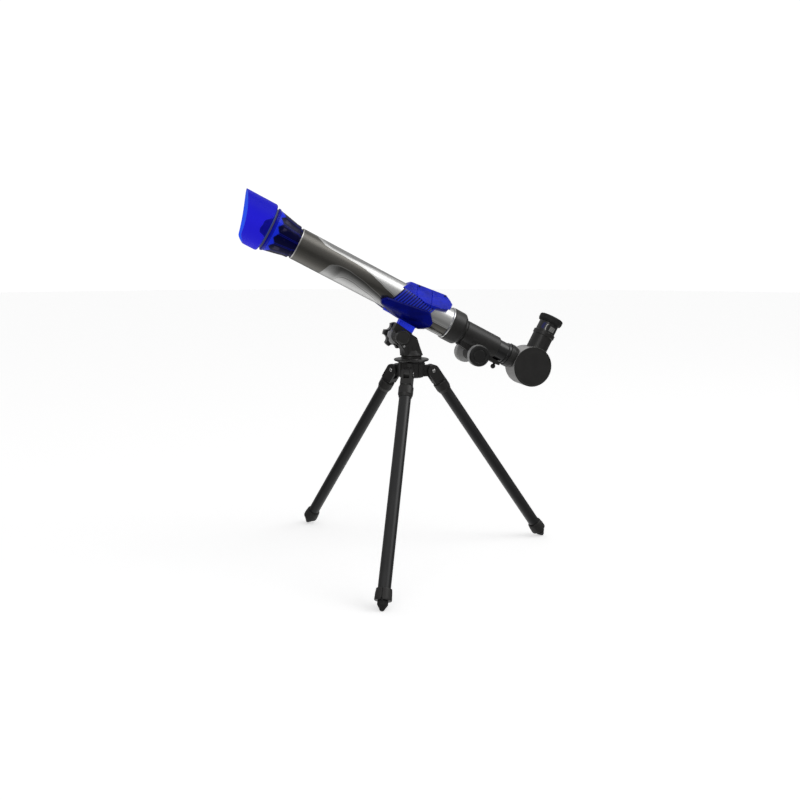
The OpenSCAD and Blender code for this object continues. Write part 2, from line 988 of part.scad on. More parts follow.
module eyepiece_lenses() {
    edge = 10.8;
    color("#bcd6ee", 0.5)
        on_tube()
            translate([drum_s, 0, 0])
                for (z = [31, 55])
                    turned([
                        [0, z - 2], [edge * 0.5, z - 1.6], [edge, z - 0.8], [edge, z + 0.8],
                        [edge * 0.5, z + 1.6], [0, z + 2]
                    ]);
}

module eyecup() {
    color(BLACK)
        on_tube()
            translate([drum_s, 0, 0])
                turned([
                    [7, 58.5], [13.9, 58.5], [14.3, 59], [14.6, 60.2], [15, 60.6], [15, 64.9],
                    [14.4, 66.3], [13.2, 66.8], [10.6, 66.6], [7, 62.6]
                ]);
}

tripod_hub();
hub_flange();
leg_rivets();
pan_bolt();
for (i = [1:3]) {
    leg_knuckle(i - 1);
    leg_sleeve(i - 1);
    leg_tube(i - 1);
    leg_clamp(i - 1);
    inner_leg(i - 1);
    foot_tip(i - 1);
}
head_post();
post_screw();
tilt_bolt();
tilt_cap();
tilt_washer();
star_knob();
tilt_bracket();
saddle_cradle();
saddle_band();
saddle_fairing();
pod_near();
pod_far();
saddle_screws();
main_tube();
lens_cell();
cell_baffle();
objective_lens();
lens_retainer();
dew_hood();
trim_ring();
rear_collar();
focuser_body();
draw_tube();
focus_rack();
pinion_shaft();
knob_skirts();
knob_faces();
lock_screw();
end_ring();
diagonal_housing();
diagonal_caps();
diagonal_mirror();
eyepiece_holder();
eyepiece_barrel();
eyepiece_lenses();
eyecup();
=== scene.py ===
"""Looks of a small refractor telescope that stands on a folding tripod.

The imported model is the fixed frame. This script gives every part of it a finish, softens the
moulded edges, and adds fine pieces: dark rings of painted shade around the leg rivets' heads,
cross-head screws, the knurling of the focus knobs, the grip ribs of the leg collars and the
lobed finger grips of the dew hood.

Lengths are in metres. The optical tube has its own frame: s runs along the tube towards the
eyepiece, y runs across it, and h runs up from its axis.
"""
from __future__ import annotations

import json
import logging
import math
from dataclasses import dataclass, field
from typing import Iterable, Sequence

import bmesh
import bpy
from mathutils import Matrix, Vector

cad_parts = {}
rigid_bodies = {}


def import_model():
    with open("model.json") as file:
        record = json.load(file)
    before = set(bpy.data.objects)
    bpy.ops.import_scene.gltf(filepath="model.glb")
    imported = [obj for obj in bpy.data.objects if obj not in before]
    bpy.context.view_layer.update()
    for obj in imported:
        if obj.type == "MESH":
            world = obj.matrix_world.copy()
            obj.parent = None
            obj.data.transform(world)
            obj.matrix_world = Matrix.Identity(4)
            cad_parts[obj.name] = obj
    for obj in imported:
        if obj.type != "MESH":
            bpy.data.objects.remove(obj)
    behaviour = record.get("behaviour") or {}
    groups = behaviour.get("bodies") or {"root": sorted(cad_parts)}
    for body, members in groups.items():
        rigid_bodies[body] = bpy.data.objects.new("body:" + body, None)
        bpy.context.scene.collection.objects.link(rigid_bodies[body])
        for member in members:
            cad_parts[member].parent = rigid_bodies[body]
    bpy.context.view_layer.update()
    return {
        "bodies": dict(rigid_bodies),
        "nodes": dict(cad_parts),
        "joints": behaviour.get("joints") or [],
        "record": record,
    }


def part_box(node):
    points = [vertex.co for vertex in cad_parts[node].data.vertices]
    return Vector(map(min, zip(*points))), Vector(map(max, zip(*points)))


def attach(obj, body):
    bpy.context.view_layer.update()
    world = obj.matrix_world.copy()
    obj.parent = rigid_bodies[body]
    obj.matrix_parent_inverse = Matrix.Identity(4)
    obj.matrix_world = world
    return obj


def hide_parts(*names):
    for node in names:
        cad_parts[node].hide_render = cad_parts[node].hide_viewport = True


LOG = logging.getLogger("telescope")
MM = 0.001
# How far the tilt pivot lies behind the origin of the tube's frame, in metres
TILT_SETBACK = 1.6 * MM
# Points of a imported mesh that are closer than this, in metres, are one point
WELD = 0.002 * MM

# Front edge of a finger grip, as (height, set-forward from the hood's rear edge), in mm
GRIP_EDGE = (
    (-12.4, 1.7), (-11.0, 3.1), (-10.2, 7.1), (-7.6, 8.9), (-4.2, 9.2), (-0.1, 8.1),
    (1.6, 8.5), (5.5, 6.7), (8.5, 3.0), (12.2, 0.0),
)
Colour = tuple[float, float, float]


# ------------------------------------------------------------------ shader expressions


class Value:
    """A number socket of a shader graph that can be used in Python arithmetic."""

    def __init__(self, graph: "Graph", socket: bpy.types.NodeSocket) -> None:
        """Wraps a socket.

        Args:
            graph: the graph that owns the socket.
            socket: the output socket that carries the number.
        """
        self.graph = graph
        self.socket = socket

    def _maths(self, operation: str, *others: "Value | float") -> "Value":
        """Adds one Math node.

        Args:
            operation: the node's operation.
            others: the operands after this one.

        Returns:
            The result.
        """
        inputs = {0: self}
        inputs.update({i + 1: other for i, other in enumerate(others)})
        node = self.graph.node("ShaderNodeMath", {"operation": operation}, inputs)
        return Value(self.graph, node.outputs[0])

    def _wrap(self, other: "Value | float") -> "Value":
        """Turns a plain number into a value.

        Args:
            other: a number or a value.

        Returns:
            The value.
        """
        if isinstance(other, Value):
            return other
        node = self.graph.node("ShaderNodeValue", {}, {})
        node.outputs[0].default_value = other
        return Value(self.graph, node.outputs[0])

    def __add__(self, other: "Value | float") -> "Value":
        """Returns self + other."""
        return self._maths("ADD", other)

    __radd__ = __add__

    def __sub__(self, other: "Value | float") -> "Value":
        """Returns self - other."""
        return self._maths("SUBTRACT", other)

    def __rsub__(self, other: "Value | float") -> "Value":
        """Returns other - self."""
        return self._wrap(other)._maths("SUBTRACT", self)

    def __mul__(self, other: "Value | float") -> "Value":
        """Returns self * other."""
        return self._maths("MULTIPLY", other)

    __rmul__ = __mul__

    def __truediv__(self, other: "Value | float") -> "Value":
        """Returns self / other."""
        return self._maths("DIVIDE", other)

    def __neg__(self) -> "Value":
        """Returns -self."""
        return self._maths("MULTIPLY", -1.0)

    def __abs__(self) -> "Value":
        """Returns |self|."""
        return self._maths("ABSOLUTE")

    def root(self) -> "Value":
        """Returns the square root."""
        return self._maths("SQRT")

    def least(self, other: "Value | float") -> "Value":
        """Returns the smaller of two values."""
        return self._maths("MINIMUM", other)

    def most(self, other: "Value | float") -> "Value":
        """Returns the larger of two values."""
        return self._maths("MAXIMUM", other)

    def wrapped(self, period: float) -> "Value":
        """Returns the value folded into 0 to period."""
        return self._maths("FLOORED_MODULO", period)

    def angle(self, other: "Value | float") -> "Value":
        """Returns atan2(self, other) in degrees."""
        return self._maths("ARCTAN2", other) * math.degrees(1.0)

    def ramp(self, low: float, high: float) -> "Value":
        """Makes a smooth step.

        Args:
            low: where it is 0.
            high: where it is 1.

        Returns:
            The step.
        """
        node = self.graph.node(
            "ShaderNodeMapRange",
            {"interpolation_type": "SMOOTHSTEP"},
            {0: self, 1: low, 2: high, 3: 0.0, 4: 1.0},
        )
        return Value(self.graph, node.outputs[0])

    def band(self, low: float, high: float, soft: float) -> "Value":
        """Returns 1 between low and high, fading over soft on each side."""
        return self.ramp(low - soft, low + soft) * (1.0 - self.ramp(high - soft, high + soft))

    def curve(self, points: Sequence[tuple[float, float]]) -> "Value":
        """Follows a smooth curve through a few points.

        Args:
            points: the curve's (input, output) points, in order.

        Returns:
            The curve's output.
        """
        lows, highs = zip(*points)
        first, last = lows[0], lows[-1]
        bottom, top = min(highs), max(highs)
        stops = [
            ((x - first) / (last - first), ((y - bottom) / (top - bottom),) * 3)
            for x, y in points
        ]
        node = self.graph.node(
            "ShaderNodeValToRGB",
            {"interpolation": "CARDINAL", "stops": stops},
            {0: (self - first) / (last - first)},
        )
        grey = Value(self.graph, node.outputs[0])
        return grey * (top - bottom) + bottom


class Graph:
    """One material's node tree."""

    def __init__(self, name: str) -> None:
        """Makes an empty material.

        Args:
            name: the material's name.
        """
        self.material = bpy.data.materials.new(name)
        self.material.use_nodes = True
        self.tree = self.material.node_tree
        self.tree.nodes.clear()
        self._place: bpy.types.Node | None = None

    def node(
        self,
        kind: str,
        settings: dict[str, object],
        inputs: dict[int | str, object],
    ) -> bpy.types.Node:
        """Adds any node.

        Args:
            kind: the node's type.
            settings: its settings; "stops" holds a ramp's (place, colour) pairs.
            inputs: the value or link of each socket, by its index or name.

        Returns:
            The node.
        """
        made = self.tree.nodes.new(kind)
        for key, setting in settings.items():
            if key == "stops":
                self._set_stops(made.color_ramp, setting)
            elif key == "interpolation" and hasattr(made, "color_ramp"):
                made.color_ramp.interpolation = setting
            else:
                setattr(made, key, setting)
        for key, given in inputs.items():
            if isinstance(given, Value):
                given = given.socket
            if isinstance(given, bpy.types.NodeSocket):
                self.tree.links.new(given, made.inputs[key])
            else:
                made.inputs[key].default_value = given
        return made

    def _set_stops(self, ramp: bpy.types.ColorRamp, stops: Iterable[tuple[float, Colour]]) -> None:
        """Replaces a ramp's stops.

        Args:
            ramp: the ramp.
            stops: each stop's place and colour, in order.
        """
        stops = list(stops)
        while len(ramp.elements) > 1:
            ramp.elements.remove(ramp.elements[-1])
        ramp.elements[0].position = stops[0][0]
        ramp.elements[0].color = (*stops[0][1], 1.0)
        for place, colour in stops[1:]:
            ramp.elements.new(place).color = (*colour, 1.0)

    def place(self) -> bpy.types.NodeSocket:
        """Returns the surface point in the piece's own coordinates."""
        if self._place is None:
            self._place = self.node("ShaderNodeTexCoord", {}, {})
        return self._place.outputs["Object"]

    def along(self, direction: Vector, origin: Vector | None = None) -> Value:
        """Measures where the surface point is along a direction.

        Args:
            direction: the unit direction.
            origin: the point from which it counts.

        Returns:
            The distance, in metres.
        """
        offset = direction.dot(origin) if origin is not None else 0.0
        return self.vector_part(self.place(), direction) - offset

    def noise(self, scale: float, detail: float = 2.0, stretch: Sequence[float] = (1, 1, 1)) -> Value:
        """Adds noise.

        Args:
            scale: features per metre.
            detail: the number of finer layers.
            stretch: how much the coordinates are scaled along each axis first.

        Returns:
            The noise, from 0 to 1.
        """
        spread = self.node(
            "ShaderNodeMapping", {}, {"Vector": self.place(), "Scale": tuple(stretch)}
        )
        made = self.node(
            "ShaderNodeTexNoise",
            {},
            {"Vector": spread.outputs[0], "Scale": scale, "Detail": detail, "Roughness": 0.55},
        )
        return Value(self, made.outputs[0])

    def mix(
        self, factor: "Value | float", first: Colour | bpy.types.NodeSocket,
        second: Colour | bpy.types.NodeSocket,
    ) -> bpy.types.NodeSocket:
        """Mixes two colours.

        Args:
            factor: 0 for the first colour and 1 for the second.
            first: a colour or a colour socket.
            second: a colour or a colour socket.

        Returns:
            The mixed colour.
        """
        made = self.node(
            "ShaderNodeMix",
            {"data_type": "RGBA"},
            {0: factor, 6: _rgba(first), 7: _rgba(second)},
        )
        return made.outputs[2]

    def bump(self, height: Value, depth: float, strength: float = 1.0) -> bpy.types.NodeSocket:
        """Turns a height from 0 to 1 into a normal.

        Args:
            height: the height.
            depth: the height's full depth in metres.
            strength: how strongly it shows.

        Returns:
            The normal.
        """
        made = self.node(
            "ShaderNodeBump", {}, {"Strength": strength, "Distance": depth, "Height": height}
        )
        return made.outputs[0]

    def vector_part(self, vector: bpy.types.NodeSocket, direction: Sequence[float]) -> Value:
        """Measures a vector along a direction.

        Args:
            vector: the vector's socket.
            direction: the unit direction.

        Returns:
            How far the vector reaches along it.
        """
        dot = self.node(
            "ShaderNodeVectorMath", {"operation": "DOT_PRODUCT"}, {0: vector, 1: tuple(direction)}
        )
        return Value(self, dot.outputs["Value"])

    def surface(self, **sockets: object) -> bpy.types.Material:
        """Ends the tree in a principled surface.

        Args:
            sockets: its sockets, with underscores for the spaces in their names.

        Returns:
            The finished material.
        """
        named = {key.replace("_", " "): _rgba(given) for key, given in sockets.items()}
        shader = self.node("ShaderNodeBsdfPrincipled", {}, named)
        self.node("ShaderNodeOutputMaterial", {}, {"Surface": shader.outputs[0]})
        return self.material


def _rgba(given: object) -> object:
    """Adds an alpha of 1 to a plain colour and leaves anything else alone."""
    if isinstance(given, tuple) and len(given) == 3:
        return (*given, 1.0)
    return given


# ------------------------------------------------------------------ the object's own frames


@dataclass(frozen=True)
class TubeFrame:
    """The optical tube's own frame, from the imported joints.

    The tube's axis passes through the centre of the diagonal's turning joint, and runs along
    the focuser's slide.
    """

    origin: Vector
    along: Vector
    up: Vector

    @classmethod
    def from_joints(cls, joints: Sequence[dict]) -> "TubeFrame":
        """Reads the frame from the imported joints.

        Args:
            joints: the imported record's joints.

        Returns:
            The frame, with its origin on the tube's axis above the pan axis.
        """
        by_name = {joint["name"]: joint for joint in joints}
        along = Vector(by_name["focus_slide"]["axis"]).normalized()
        up = Vector(by_name["eyepiece_pull"]["axis"]).normalized()
        nose = Vector(by_name["diagonal_turn"]["pos_m"])
        tilt = Vector(by_name["tilt"]["pos_m"])
        return cls(nose + along * (along.dot(tilt - nose) - TILT_SETBACK), along, up)

    def point(self, s: float, y: float, h: float) -> Vector:
        """Returns the place of a point of the tube's frame."""
        return self.origin + self.along * s + Vector((0.0, y, 0.0)) + self.up * h

    def local(self, place: Vector) -> tuple[float, float, float]:
        """Returns the (s, y, h) of a place."""
        offset = place - self.origin
        return self.along.dot(offset), place.y, self.up.dot(offset)

    def sockets(self, graph: Graph) -> tuple[Value, Value, Value]:
        """Finds the surface point in the tube's frame.

        Args:
            graph: the material's graph.

        Returns:
            Its s, y and h, in millimetres.
        """
        s = graph.along(self.along, self.origin) * (1 / MM)
        y = graph.along(Vector((0.0, 1.0, 0.0))) * (1 / MM)
        h = graph.along(self.up, self.origin) * (1 / MM)
        return s, y, h


# ------------------------------------------------------------------ finishes


@dataclass(frozen=True)
class MouldedPlastic:
    """Satin black plastic with a fine moulded grain and faint scuffs."""

    name: str
    colour: Colour = (0.028, 0.027, 0.026)
    grain: float = 2600.0
    grain_depth: float = 0.00003
    roughness: float = 0.42
    coat: float = 0.12

    def make(self) -> bpy.types.Material:
        """Returns the material."""
        graph = Graph(self.name)
        grain = graph.noise(self.grain, 3.0)
        cloud = graph.noise(70.0, 4.0)
        scuff = graph.noise(240.0, 6.0, (1.0, 1.0, 5.0)).ramp(0.62, 0.74)
        light = tuple(1.55 * part + 0.004 for part in self.colour)
        colour = graph.mix(cloud.ramp(0.3, 0.75) * 0.45 + scuff * 0.22, self.colour, light)
        rough = cloud * 0.12 + grain * 0.06 + scuff * 0.08 + (self.roughness - 0.1)
        return graph.surface(
            Base_Color=colour,
            Roughness=rough,
            Normal=graph.bump(grain, self.grain_depth, 0.55),
            Coat_Weight=self.coat,
            Coat_Roughness=0.32,
            Specular_IOR_Level=0.5,
        )


@dataclass(frozen=True)
class PaintedTube:
    """Smooth satin paint on drawn metal tube, with faint draw lines along it."""

    name: str
    axis: Vector
    colour: Colour = (0.022, 0.022, 0.023)
    roughness: float = 0.3

    def make(self) -> bpy.types.Material:
        """Returns the material."""
        graph = Graph(self.name)
        turn = self.axis.to_track_quat("Z", "Y").to_matrix().transposed().to_euler()
        turned = graph.node("ShaderNodeMapping", {}, {"Vector": graph.place(), "Rotation": tuple(turn)})
        stretched = graph.node(
            "ShaderNodeMapping", {}, {"Vector": turned.outputs[0], "Scale": (1.0, 1.0, 0.02)}
        )
        lines = graph.node(
            "ShaderNodeTexNoise", {}, {"Vector": stretched.outputs[0], "Scale": 1500.0, "Detail": 3.0}
        )
        drawn = Value(graph, lines.outputs[0])
        peel = graph.noise(900.0, 2.0)
        cloud = graph.noise(45.0, 3.0)
        light = tuple(1.7 * part + 0.003 for part in self.colour)
        colour = graph.mix(cloud.ramp(0.35, 0.8) * 0.4, self.colour, light)
        height = drawn * 0.5 + peel * 0.5
        return graph.surface(
            Base_Color=colour,
            Roughness=cloud * 0.1 + peel * 0.06 + (self.roughness - 0.05),
            Normal=graph.bump(height, 0.00003, 0.5),
            Coat_Weight=0.3,
            Coat_Roughness=0.16,
        )


@dataclass(frozen=True)
class BrightMetal:
    """Polished plated metal with fine wiping marks."""

    name: str
    colour: Colour = (0.78, 0.78, 0.77)
    roughness: float = 0.14

    def make(self) -> bpy.types.Material:
        """Returns the material."""
        graph = Graph(self.name)
        marks = graph.noise(1400.0, 4.0, (1.0, 6.0, 1.0))
        cloud = graph.noise(160.0, 3.0)
        worn = tuple(0.72 * part for part in self.colour)
        return graph.surface(
            Base_Color=graph.mix(cloud.ramp(0.45, 0.8) * 0.5, self.colour, worn),
            Metallic=1.0,
            Roughness=marks * 0.12 + cloud * 0.06 + (self.roughness - 0.06),
            Normal=graph.bump(marks, 0.000012, 0.3),
        )


@dataclass(frozen=True)
class SilverPlastic:
    """Metallised silver plastic with a satin sheen."""

    name: str
    colour: Colour = (0.86, 0.86, 0.85)

    def make(self) -> bpy.types.Material:
        """Returns the material."""
        graph = Graph(self.name)
        fleck = graph.noise(5200.0, 2.0)
        cloud = graph.noise(60.0, 3.0)
        dull = tuple(0.8 * part for part in self.colour)
        return graph.surface(
            Base_Color=graph.mix(fleck * 0.35 + cloud * 0.3, self.colour, dull),
            Metallic=0.25,
            Roughness=cloud * 0.1 + fleck * 0.08 + 0.16,
            Normal=graph.bump(fleck, 0.00001, 0.25),
            Coat_Weight=0.35,
            Coat_Roughness=0.12,
        )


@dataclass(frozen=True)
class Rubber:
    """Matt black rubber with a dusty bloom."""

    name: str
    colour: Colour = (0.024, 0.024, 0.024)

    def make(self) -> bpy.types.Material:
        """Returns the material."""
        graph = Graph(self.name)
        grain = graph.noise(3400.0, 3.0)
        dust = graph.noise(130.0, 5.0)
        bloom = tuple(2.4 * part + 0.01 for part in self.colour)
        return graph.surface(
            Base_Color=graph.mix(dust.ramp(0.5, 0.85) * 0.5, self.colour, bloom),
            Roughness=dust * 0.15 + 0.5,
            Normal=graph.bump(grain, 0.00004, 0.6),
            Specular_IOR_Level=0.35,
        )


@dataclass(frozen=True)
class TranslucentPlastic:
    """Tinted translucent plastic: saturated and glossy, with a painted highlight on its sharp edges and
    a painted glow.
    """

    name: str
    deep: Colour
    bright: Colour
    roughness: float = 0.22
    painted_glow: float = 0.0
    gloss: float = 0.2
    core: float = 1.0

    def make(self) -> bpy.types.Material:
        """Returns the material."""
        graph = Graph(self.name)
        cloud = graph.noise(62.0, 3.0)
        streak = graph.noise(150.0, 4.0, (0.35, 1.0, 1.0))
        ripple = graph.noise(420.0, 2.0)
        # Painted highlight: sharp convex edges, found by their pointiness, are lightened towards the
        # bright colour
        pointed = graph.node("ShaderNodeNewGeometry", {}, {}).outputs["Pointiness"]
        edge = Value(graph, pointed).ramp(0.50, 0.53)
        tint = (cloud.ramp(0.36, 0.62) * 0.55 + streak.ramp(0.4, 0.62) * 0.45) * self.core
        colour = graph.mix(tint.least(1.0), self.bright, self.deep)
        colour = graph.mix(edge * 0.5, colour, self.bright)
        return graph.surface(
            Base_Color=colour,
            Roughness=cloud * 0.08 + ripple * 0.04 + (self.roughness - 0.04),
            Normal=graph.bump(ripple, 0.00003, 0.3),
            Specular_IOR_Level=self.gloss,
            Coat_Weight=self.gloss * 0.5,
            Coat_Roughness=0.06,
            # Painted glow: the plastic gives off its own colour as light, though it is no lamp
            Emission_Color=colour,
            Emission_Strength=self.painted_glow,
        )


@dataclass(frozen=True)
class RibbedPlastic:
    """Blue plastic of the ribbed band, with painted light on its ribs, painted shade between them and a
    painted glow.
    """

    name: str
    frame: TubeFrame
    groove: float
    crest: float
    deep: Colour = (0.002, 0.003, 0.11)
    bright: Colour = (0.022, 0.045, 0.72)

    def make(self) -> bpy.types.Material:
        """Returns the material."""
        graph = Graph(self.name)
        _, y, h = self.frame.sockets(graph)
        cloud = graph.noise(80.0, 3.0)
        ripple = graph.noise(420.0, 2.0)
        # Painted light and shade: deep colour in the grooves, bright colour on the rib tops
        reach = (y * y + h * h).root().ramp(self.groove, self.crest)
        colour = graph.mix(reach * (cloud * 0.5 + 0.5), self.deep, self.bright)
        return graph.surface(
            Base_Color=colour,
            Roughness=cloud * 0.1 + 0.16,
            Normal=graph.bump(ripple, 0.00003, 0.3),
            Specular_IOR_Level=0.25,
            Coat_Weight=0.15,
            Coat_Roughness=0.06,
            # Painted glow: the band gives off its own colour as light
            Emission_Color=colour,
            Emission_Strength=0.15,
        )


@dataclass(frozen=True)
class HoodPlastic:
    """Bright blue translucent plastic of the dew hood, with its darker lobed finger grips, painted shade
    on its top, painted light on its inner face and a painted glow.
    """

    name: str
    frame: TubeFrame
    rear_edge: float
    radius: float

    def make(self) -> bpy.types.Material:
        """Returns the material."""
        graph = Graph(self.name)
        s, y, h = self.frame.sockets(graph)
        cloud = graph.noise(26.0, 2.0)
        ripple = graph.noise(300.0, 2.0)
        outside = (y * y + h * h).root().ramp(self.radius - 1.2, self.radius - 0.7)
        # Painted shade: the hood is darker on top and brighter low down
        top = (0.006, 0.006, 0.58)
        low = (0.024, 0.018, 0.92)
        body = graph.mix(h.ramp(-4.0, 24.0) * 0.85 + cloud * 0.15, low, top)
        # Painted light: the inner face is a lighter blue, as if lit through the thin wall
        inside = graph.mix(outside, (0.05, 0.16, 0.98), body)
        rim = s.band(self.rear_edge - 0.9, self.rear_edge + 0.3, 0.3)
        spigot = s.ramp(self.rear_edge + 0.2, self.rear_edge + 0.8)
        reach = h.curve(GRIP_EDGE)
        grip = (s - self.rear_edge + reach).ramp(-0.3, 0.3) * h.band(-12.2, 12.0, 0.3) * outside
        grip = grip * abs(y).ramp(20.0, 21.0)
        body = graph.mix(grip, inside, (0.004, 0.003, 0.30))
        colour = graph.mix(rim * 0.75, body, (0.003, 0.003, 0.09))
        colour = graph.mix(spigot, colour, (0.10, 0.10, 0.14))
        return graph.surface(
            Base_Color=colour,
            Roughness=cloud * 0.06 + ripple * 0.04 + 0.34,
            Normal=graph.bump(ripple, 0.00003, 0.25),
            Specular_IOR_Level=0.12,
            # Painted glow: the hood gives off its own colour as light
            Emission_Color=colour,
            Emission_Strength=0.3,
        )


@dataclass(frozen=True)
class CellPlastic:
    """Blue translucent cone of the lens cell, with the dark fins and tube seen through it, and a painted
    glow.
    """

    name: str
    frame: TubeFrame
    front: float
    rear: float
    fins: int = 12

    def make(self) -> bpy.types.Material:
        """Returns the material."""
        graph = Graph(self.name)
        s, y, h = self.frame.sockets(graph)
        wobble = graph.noise(260.0, 3.0)
        turn = h.angle(y)
        step = 360 / self.fins
        fold = abs((turn + 191.0).wrapped(step) - step / 2)
        wedge = fold.ramp(0.0, step / 2)
        behind = s - self.front
        back = (behind + wedge * 3.4 + wobble * 2.4).ramp(9.4, 11.6)
        bright = (0.010, 0.030, 0.80)
        flange = graph.mix(s.ramp(self.front + 2.4, self.front + 3.4), (0.004, 0.006, 0.40), bright)
        rings = behind.band(0.2, 0.9, 0.3).most(behind.band(3.1, 3.8, 0.3))
        flange = graph.mix(rings * 0.8, flange, (0.002, 0.002, 0.10))
        navy = (0.001, 0.001, 0.030)
        plum = (0.040, 0.036, 0.080)
        streak = graph.noise(120.0, 3.0).ramp(0.44, 0.60)
        panel = wedge.ramp(0.45, 0.7) * behind.band(11.0, 18.0, 1.6)
        inner = graph.mix(panel * streak, navy, plum)
        fin = fold.band(1.2, 2.8, 0.8)
        inner = graph.mix(fin * 0.7, inner, (0.004, 0.008, 0.26))
        rear = s.ramp(self.rear - 4.6, self.rear - 2.6)
        inner = graph.mix(rear * 0.85, inner, (0.002, 0.003, 0.13))
        colour = graph.mix(back, flange, inner)
        return graph.surface(
            Base_Color=colour,
            Roughness=wobble * 0.08 + 0.14,
            Normal=graph.bump(wobble, 0.00004, 0.3),
            Specular_IOR_Level=0.1,
            Coat_Weight=0.04,
            Coat_Roughness=0.05,
            # Painted glow: the cone gives off its own colour as light
            Emission_Color=colour,
            Emission_Strength=0.3,
        )


@dataclass(frozen=True)
class TubePaint:
    """Gunmetal paint with two silver sweeps and fine contour lines, painted reflections on the sweeps
    and a painted highlight along the front edge.

    Boundaries are curves of the angle around the tube against s. The angle is 0 at either
    flank and 90 on top.
    """

    name: str
    frame: TubeFrame
    front: float
    edge: float = 1.2
    upper: tuple[tuple[float, float], ...] = (
        (-140.0, 92.0), (-137.0, 66.0), (-127.0, 42.0), (-100.0, 36.0), (-74.0, 30.0),
        (-60.0, 18.0), (-47.5, 5.0), (-31.0, -10.0), (-12.0, -26.0),
    )
    lower: tuple[tuple[float, float], ...] = (
        (-120.0, -95.0), (-117.5, -62.0), (-114.0, -23.0), (-107.0, -8.0), (-97.0, -3.0),
        (-86.0, -5.0), (-62.0, -18.0), (-42.0, -36.0), (-22.0, -60.0),
    )
    # Lower edge of the painted grey reflection on top of the upper sweep, as (s, angle)
    painted_top_reflection: tuple[tuple[float, float], ...] = (
        (-140.0, 80.0), (-120.0, 47.0), (-96.0, 44.0), (-70.0, 52.0), (-40.0, 60.0), (-10.0, 64.0),
    )
    inner: tuple[tuple[float, float], ...] = (
        (-107.0, -96.0), (-101.6, -82.0), (-98.5, -50.0), (-94.0, -38.0), (-86.0, -35.0),
        (-73.7, -40.0), (-50.4, -56.0), (-30.0, -78.0),
    )

    def make(self) -> bpy.types.Material:
        """Returns the material."""
        graph = Graph(self.name)
        s, y, h = self.frame.sockets(graph)
        around = h.angle(abs(y))
        over = around - s.curve(self.upper)
        under = s.curve(self.lower) - around
        above = over.ramp(-self.edge, self.edge) * s.ramp(-140.4, -139.4)
        below = under.ramp(-self.edge, self.edge) * s.ramp(-120.6, -119.6)
        silver = above.most(below)
        flake = graph.noise(6500.0, 2.0)
        cloud = graph.noise(42.0, 3.0)
        brushed = graph.noise(900.0, 3.0, (0.06, 1.0, 0.12))
        gun = self.gunmetal(graph, s, over, cloud * 0.4 + flake * 0.35)
        pale = graph.mix(flake * 0.3 + cloud * 0.2, (0.80, 0.80, 0.79), (0.70, 0.70, 0.69))
        pale = self.lower_sweep(graph, s, around, under, below, pale)
        pale = self.upper_sweep(graph, s, around, over, above, pale)
        colour = graph.mix(silver, gun, pale)
        # Painted highlight: a light band along the tube's front edge; the outline mixed in with it is a
        # printed contour line
        rim = s.band(self.front, self.front + 1.3, 0.3)
        outline = (1.0 - abs(under).ramp(0.6, 2.2)) * s.ramp(-116.0, -108.0) * 0.35
        colour = graph.mix((outline + rim).least(1.0), colour, (0.74, 0.73, 0.71))
        return graph.surface(
            Base_Color=colour,
            Metallic=0.9 - silver * 0.1,
            Roughness=flake * 0.05 + brushed * 0.06 + 0.25,
            Normal=graph.bump(brushed * 0.6 + flake * 0.4, 0.000015, 0.3),
            Coat_Weight=0.25,
            Coat_Roughness=0.09,
        )

    def gunmetal(self, graph: Graph, s: Value, over: Value, mottle: Value) -> bpy.types.NodeSocket:
        """Makes the gunmetal field, which is darker beside the upper sweep.

        Args:
            graph: the material's graph.
            s: the place along the tube.
            over: how far the point is above the upper sweep's edge, in degrees.
            mottle: the paint's own variation.

        Returns:
            The colour.
        """
        gun = graph.mix(mottle, (0.190, 0.182, 0.166), (0.145, 0.138, 0.125))
        beside = (1.0 - abs(over).ramp(0.8, 5.0)) * s.ramp(-134.0, -110.0)
        return graph.mix(beside * 0.5, gun, (0.060, 0.058, 0.053))

    def lower_sweep(
        self, graph: Graph, s: Value, around: Value, under: Value, below: Value,
        pale: bpy.types.NodeSocket,
    ) -> bpy.types.NodeSocket:
        """Paints reflection on the lower sweep, dark at its edge and light further in and towards the
        front, and draws its contour lines.

        Args:
            graph: the material's graph.
            s: the place along the tube.
            around: the angle around the tube.
            under: how far the point is below the sweep's edge, in degrees.
            below: 1 inside the sweep.
            pale: the silver.

        Returns:
            The colour.
        """
        light = (0.66, 0.66, 0.65)
        depth = s.curve(self.inner) - around
        within = depth.ramp(-self.edge, self.edge) * s.ramp(-107.4, -106.4)
        # Painted reflection: the silver runs from dark at the sweep's edge to light inside it, and is
        # lighter towards the front
        painted_reflection_rise = (under / (under - depth.least(0.0)).most(1.0)).least(1.0)
        shade = graph.mix(painted_reflection_rise.ramp(0.0, 0.95), (0.12, 0.118, 0.112), light)
        shade = graph.mix((1.0 - s.ramp(-112.0, -98.0)) * 0.75, shade, light)
        pale = graph.mix(below * (1.0 - within), pale, shade)
        line = (1.0 - abs(depth).ramp(0.6, 1.9)) * s.ramp(-106.0, -102.0)
        second = (1.0 - abs(depth + 8.0).ramp(0.6, 1.8)) * s.ramp(-112.0, -108.0) * 0.3
        return graph.mix((line * 0.75).most(second) * below, pale, (0.13, 0.125, 0.115))

    def upper_sweep(
        self, graph: Graph, s: Value, around: Value, over: Value, above: Value,
        pale: bpy.types.NodeSocket,
    ) -> bpy.types.NodeSocket:
        """Paints a grey reflection over the top of the upper sweep and draws the crease along its edge.

        Args:
            graph: the material's graph.
            s: the place along the tube.
            around: the angle around the tube.
            over: how far the point is above the sweep's edge, in degrees.
            above: 1 inside the sweep.
            pale: the silver.

        Returns:
            The colour.
        """
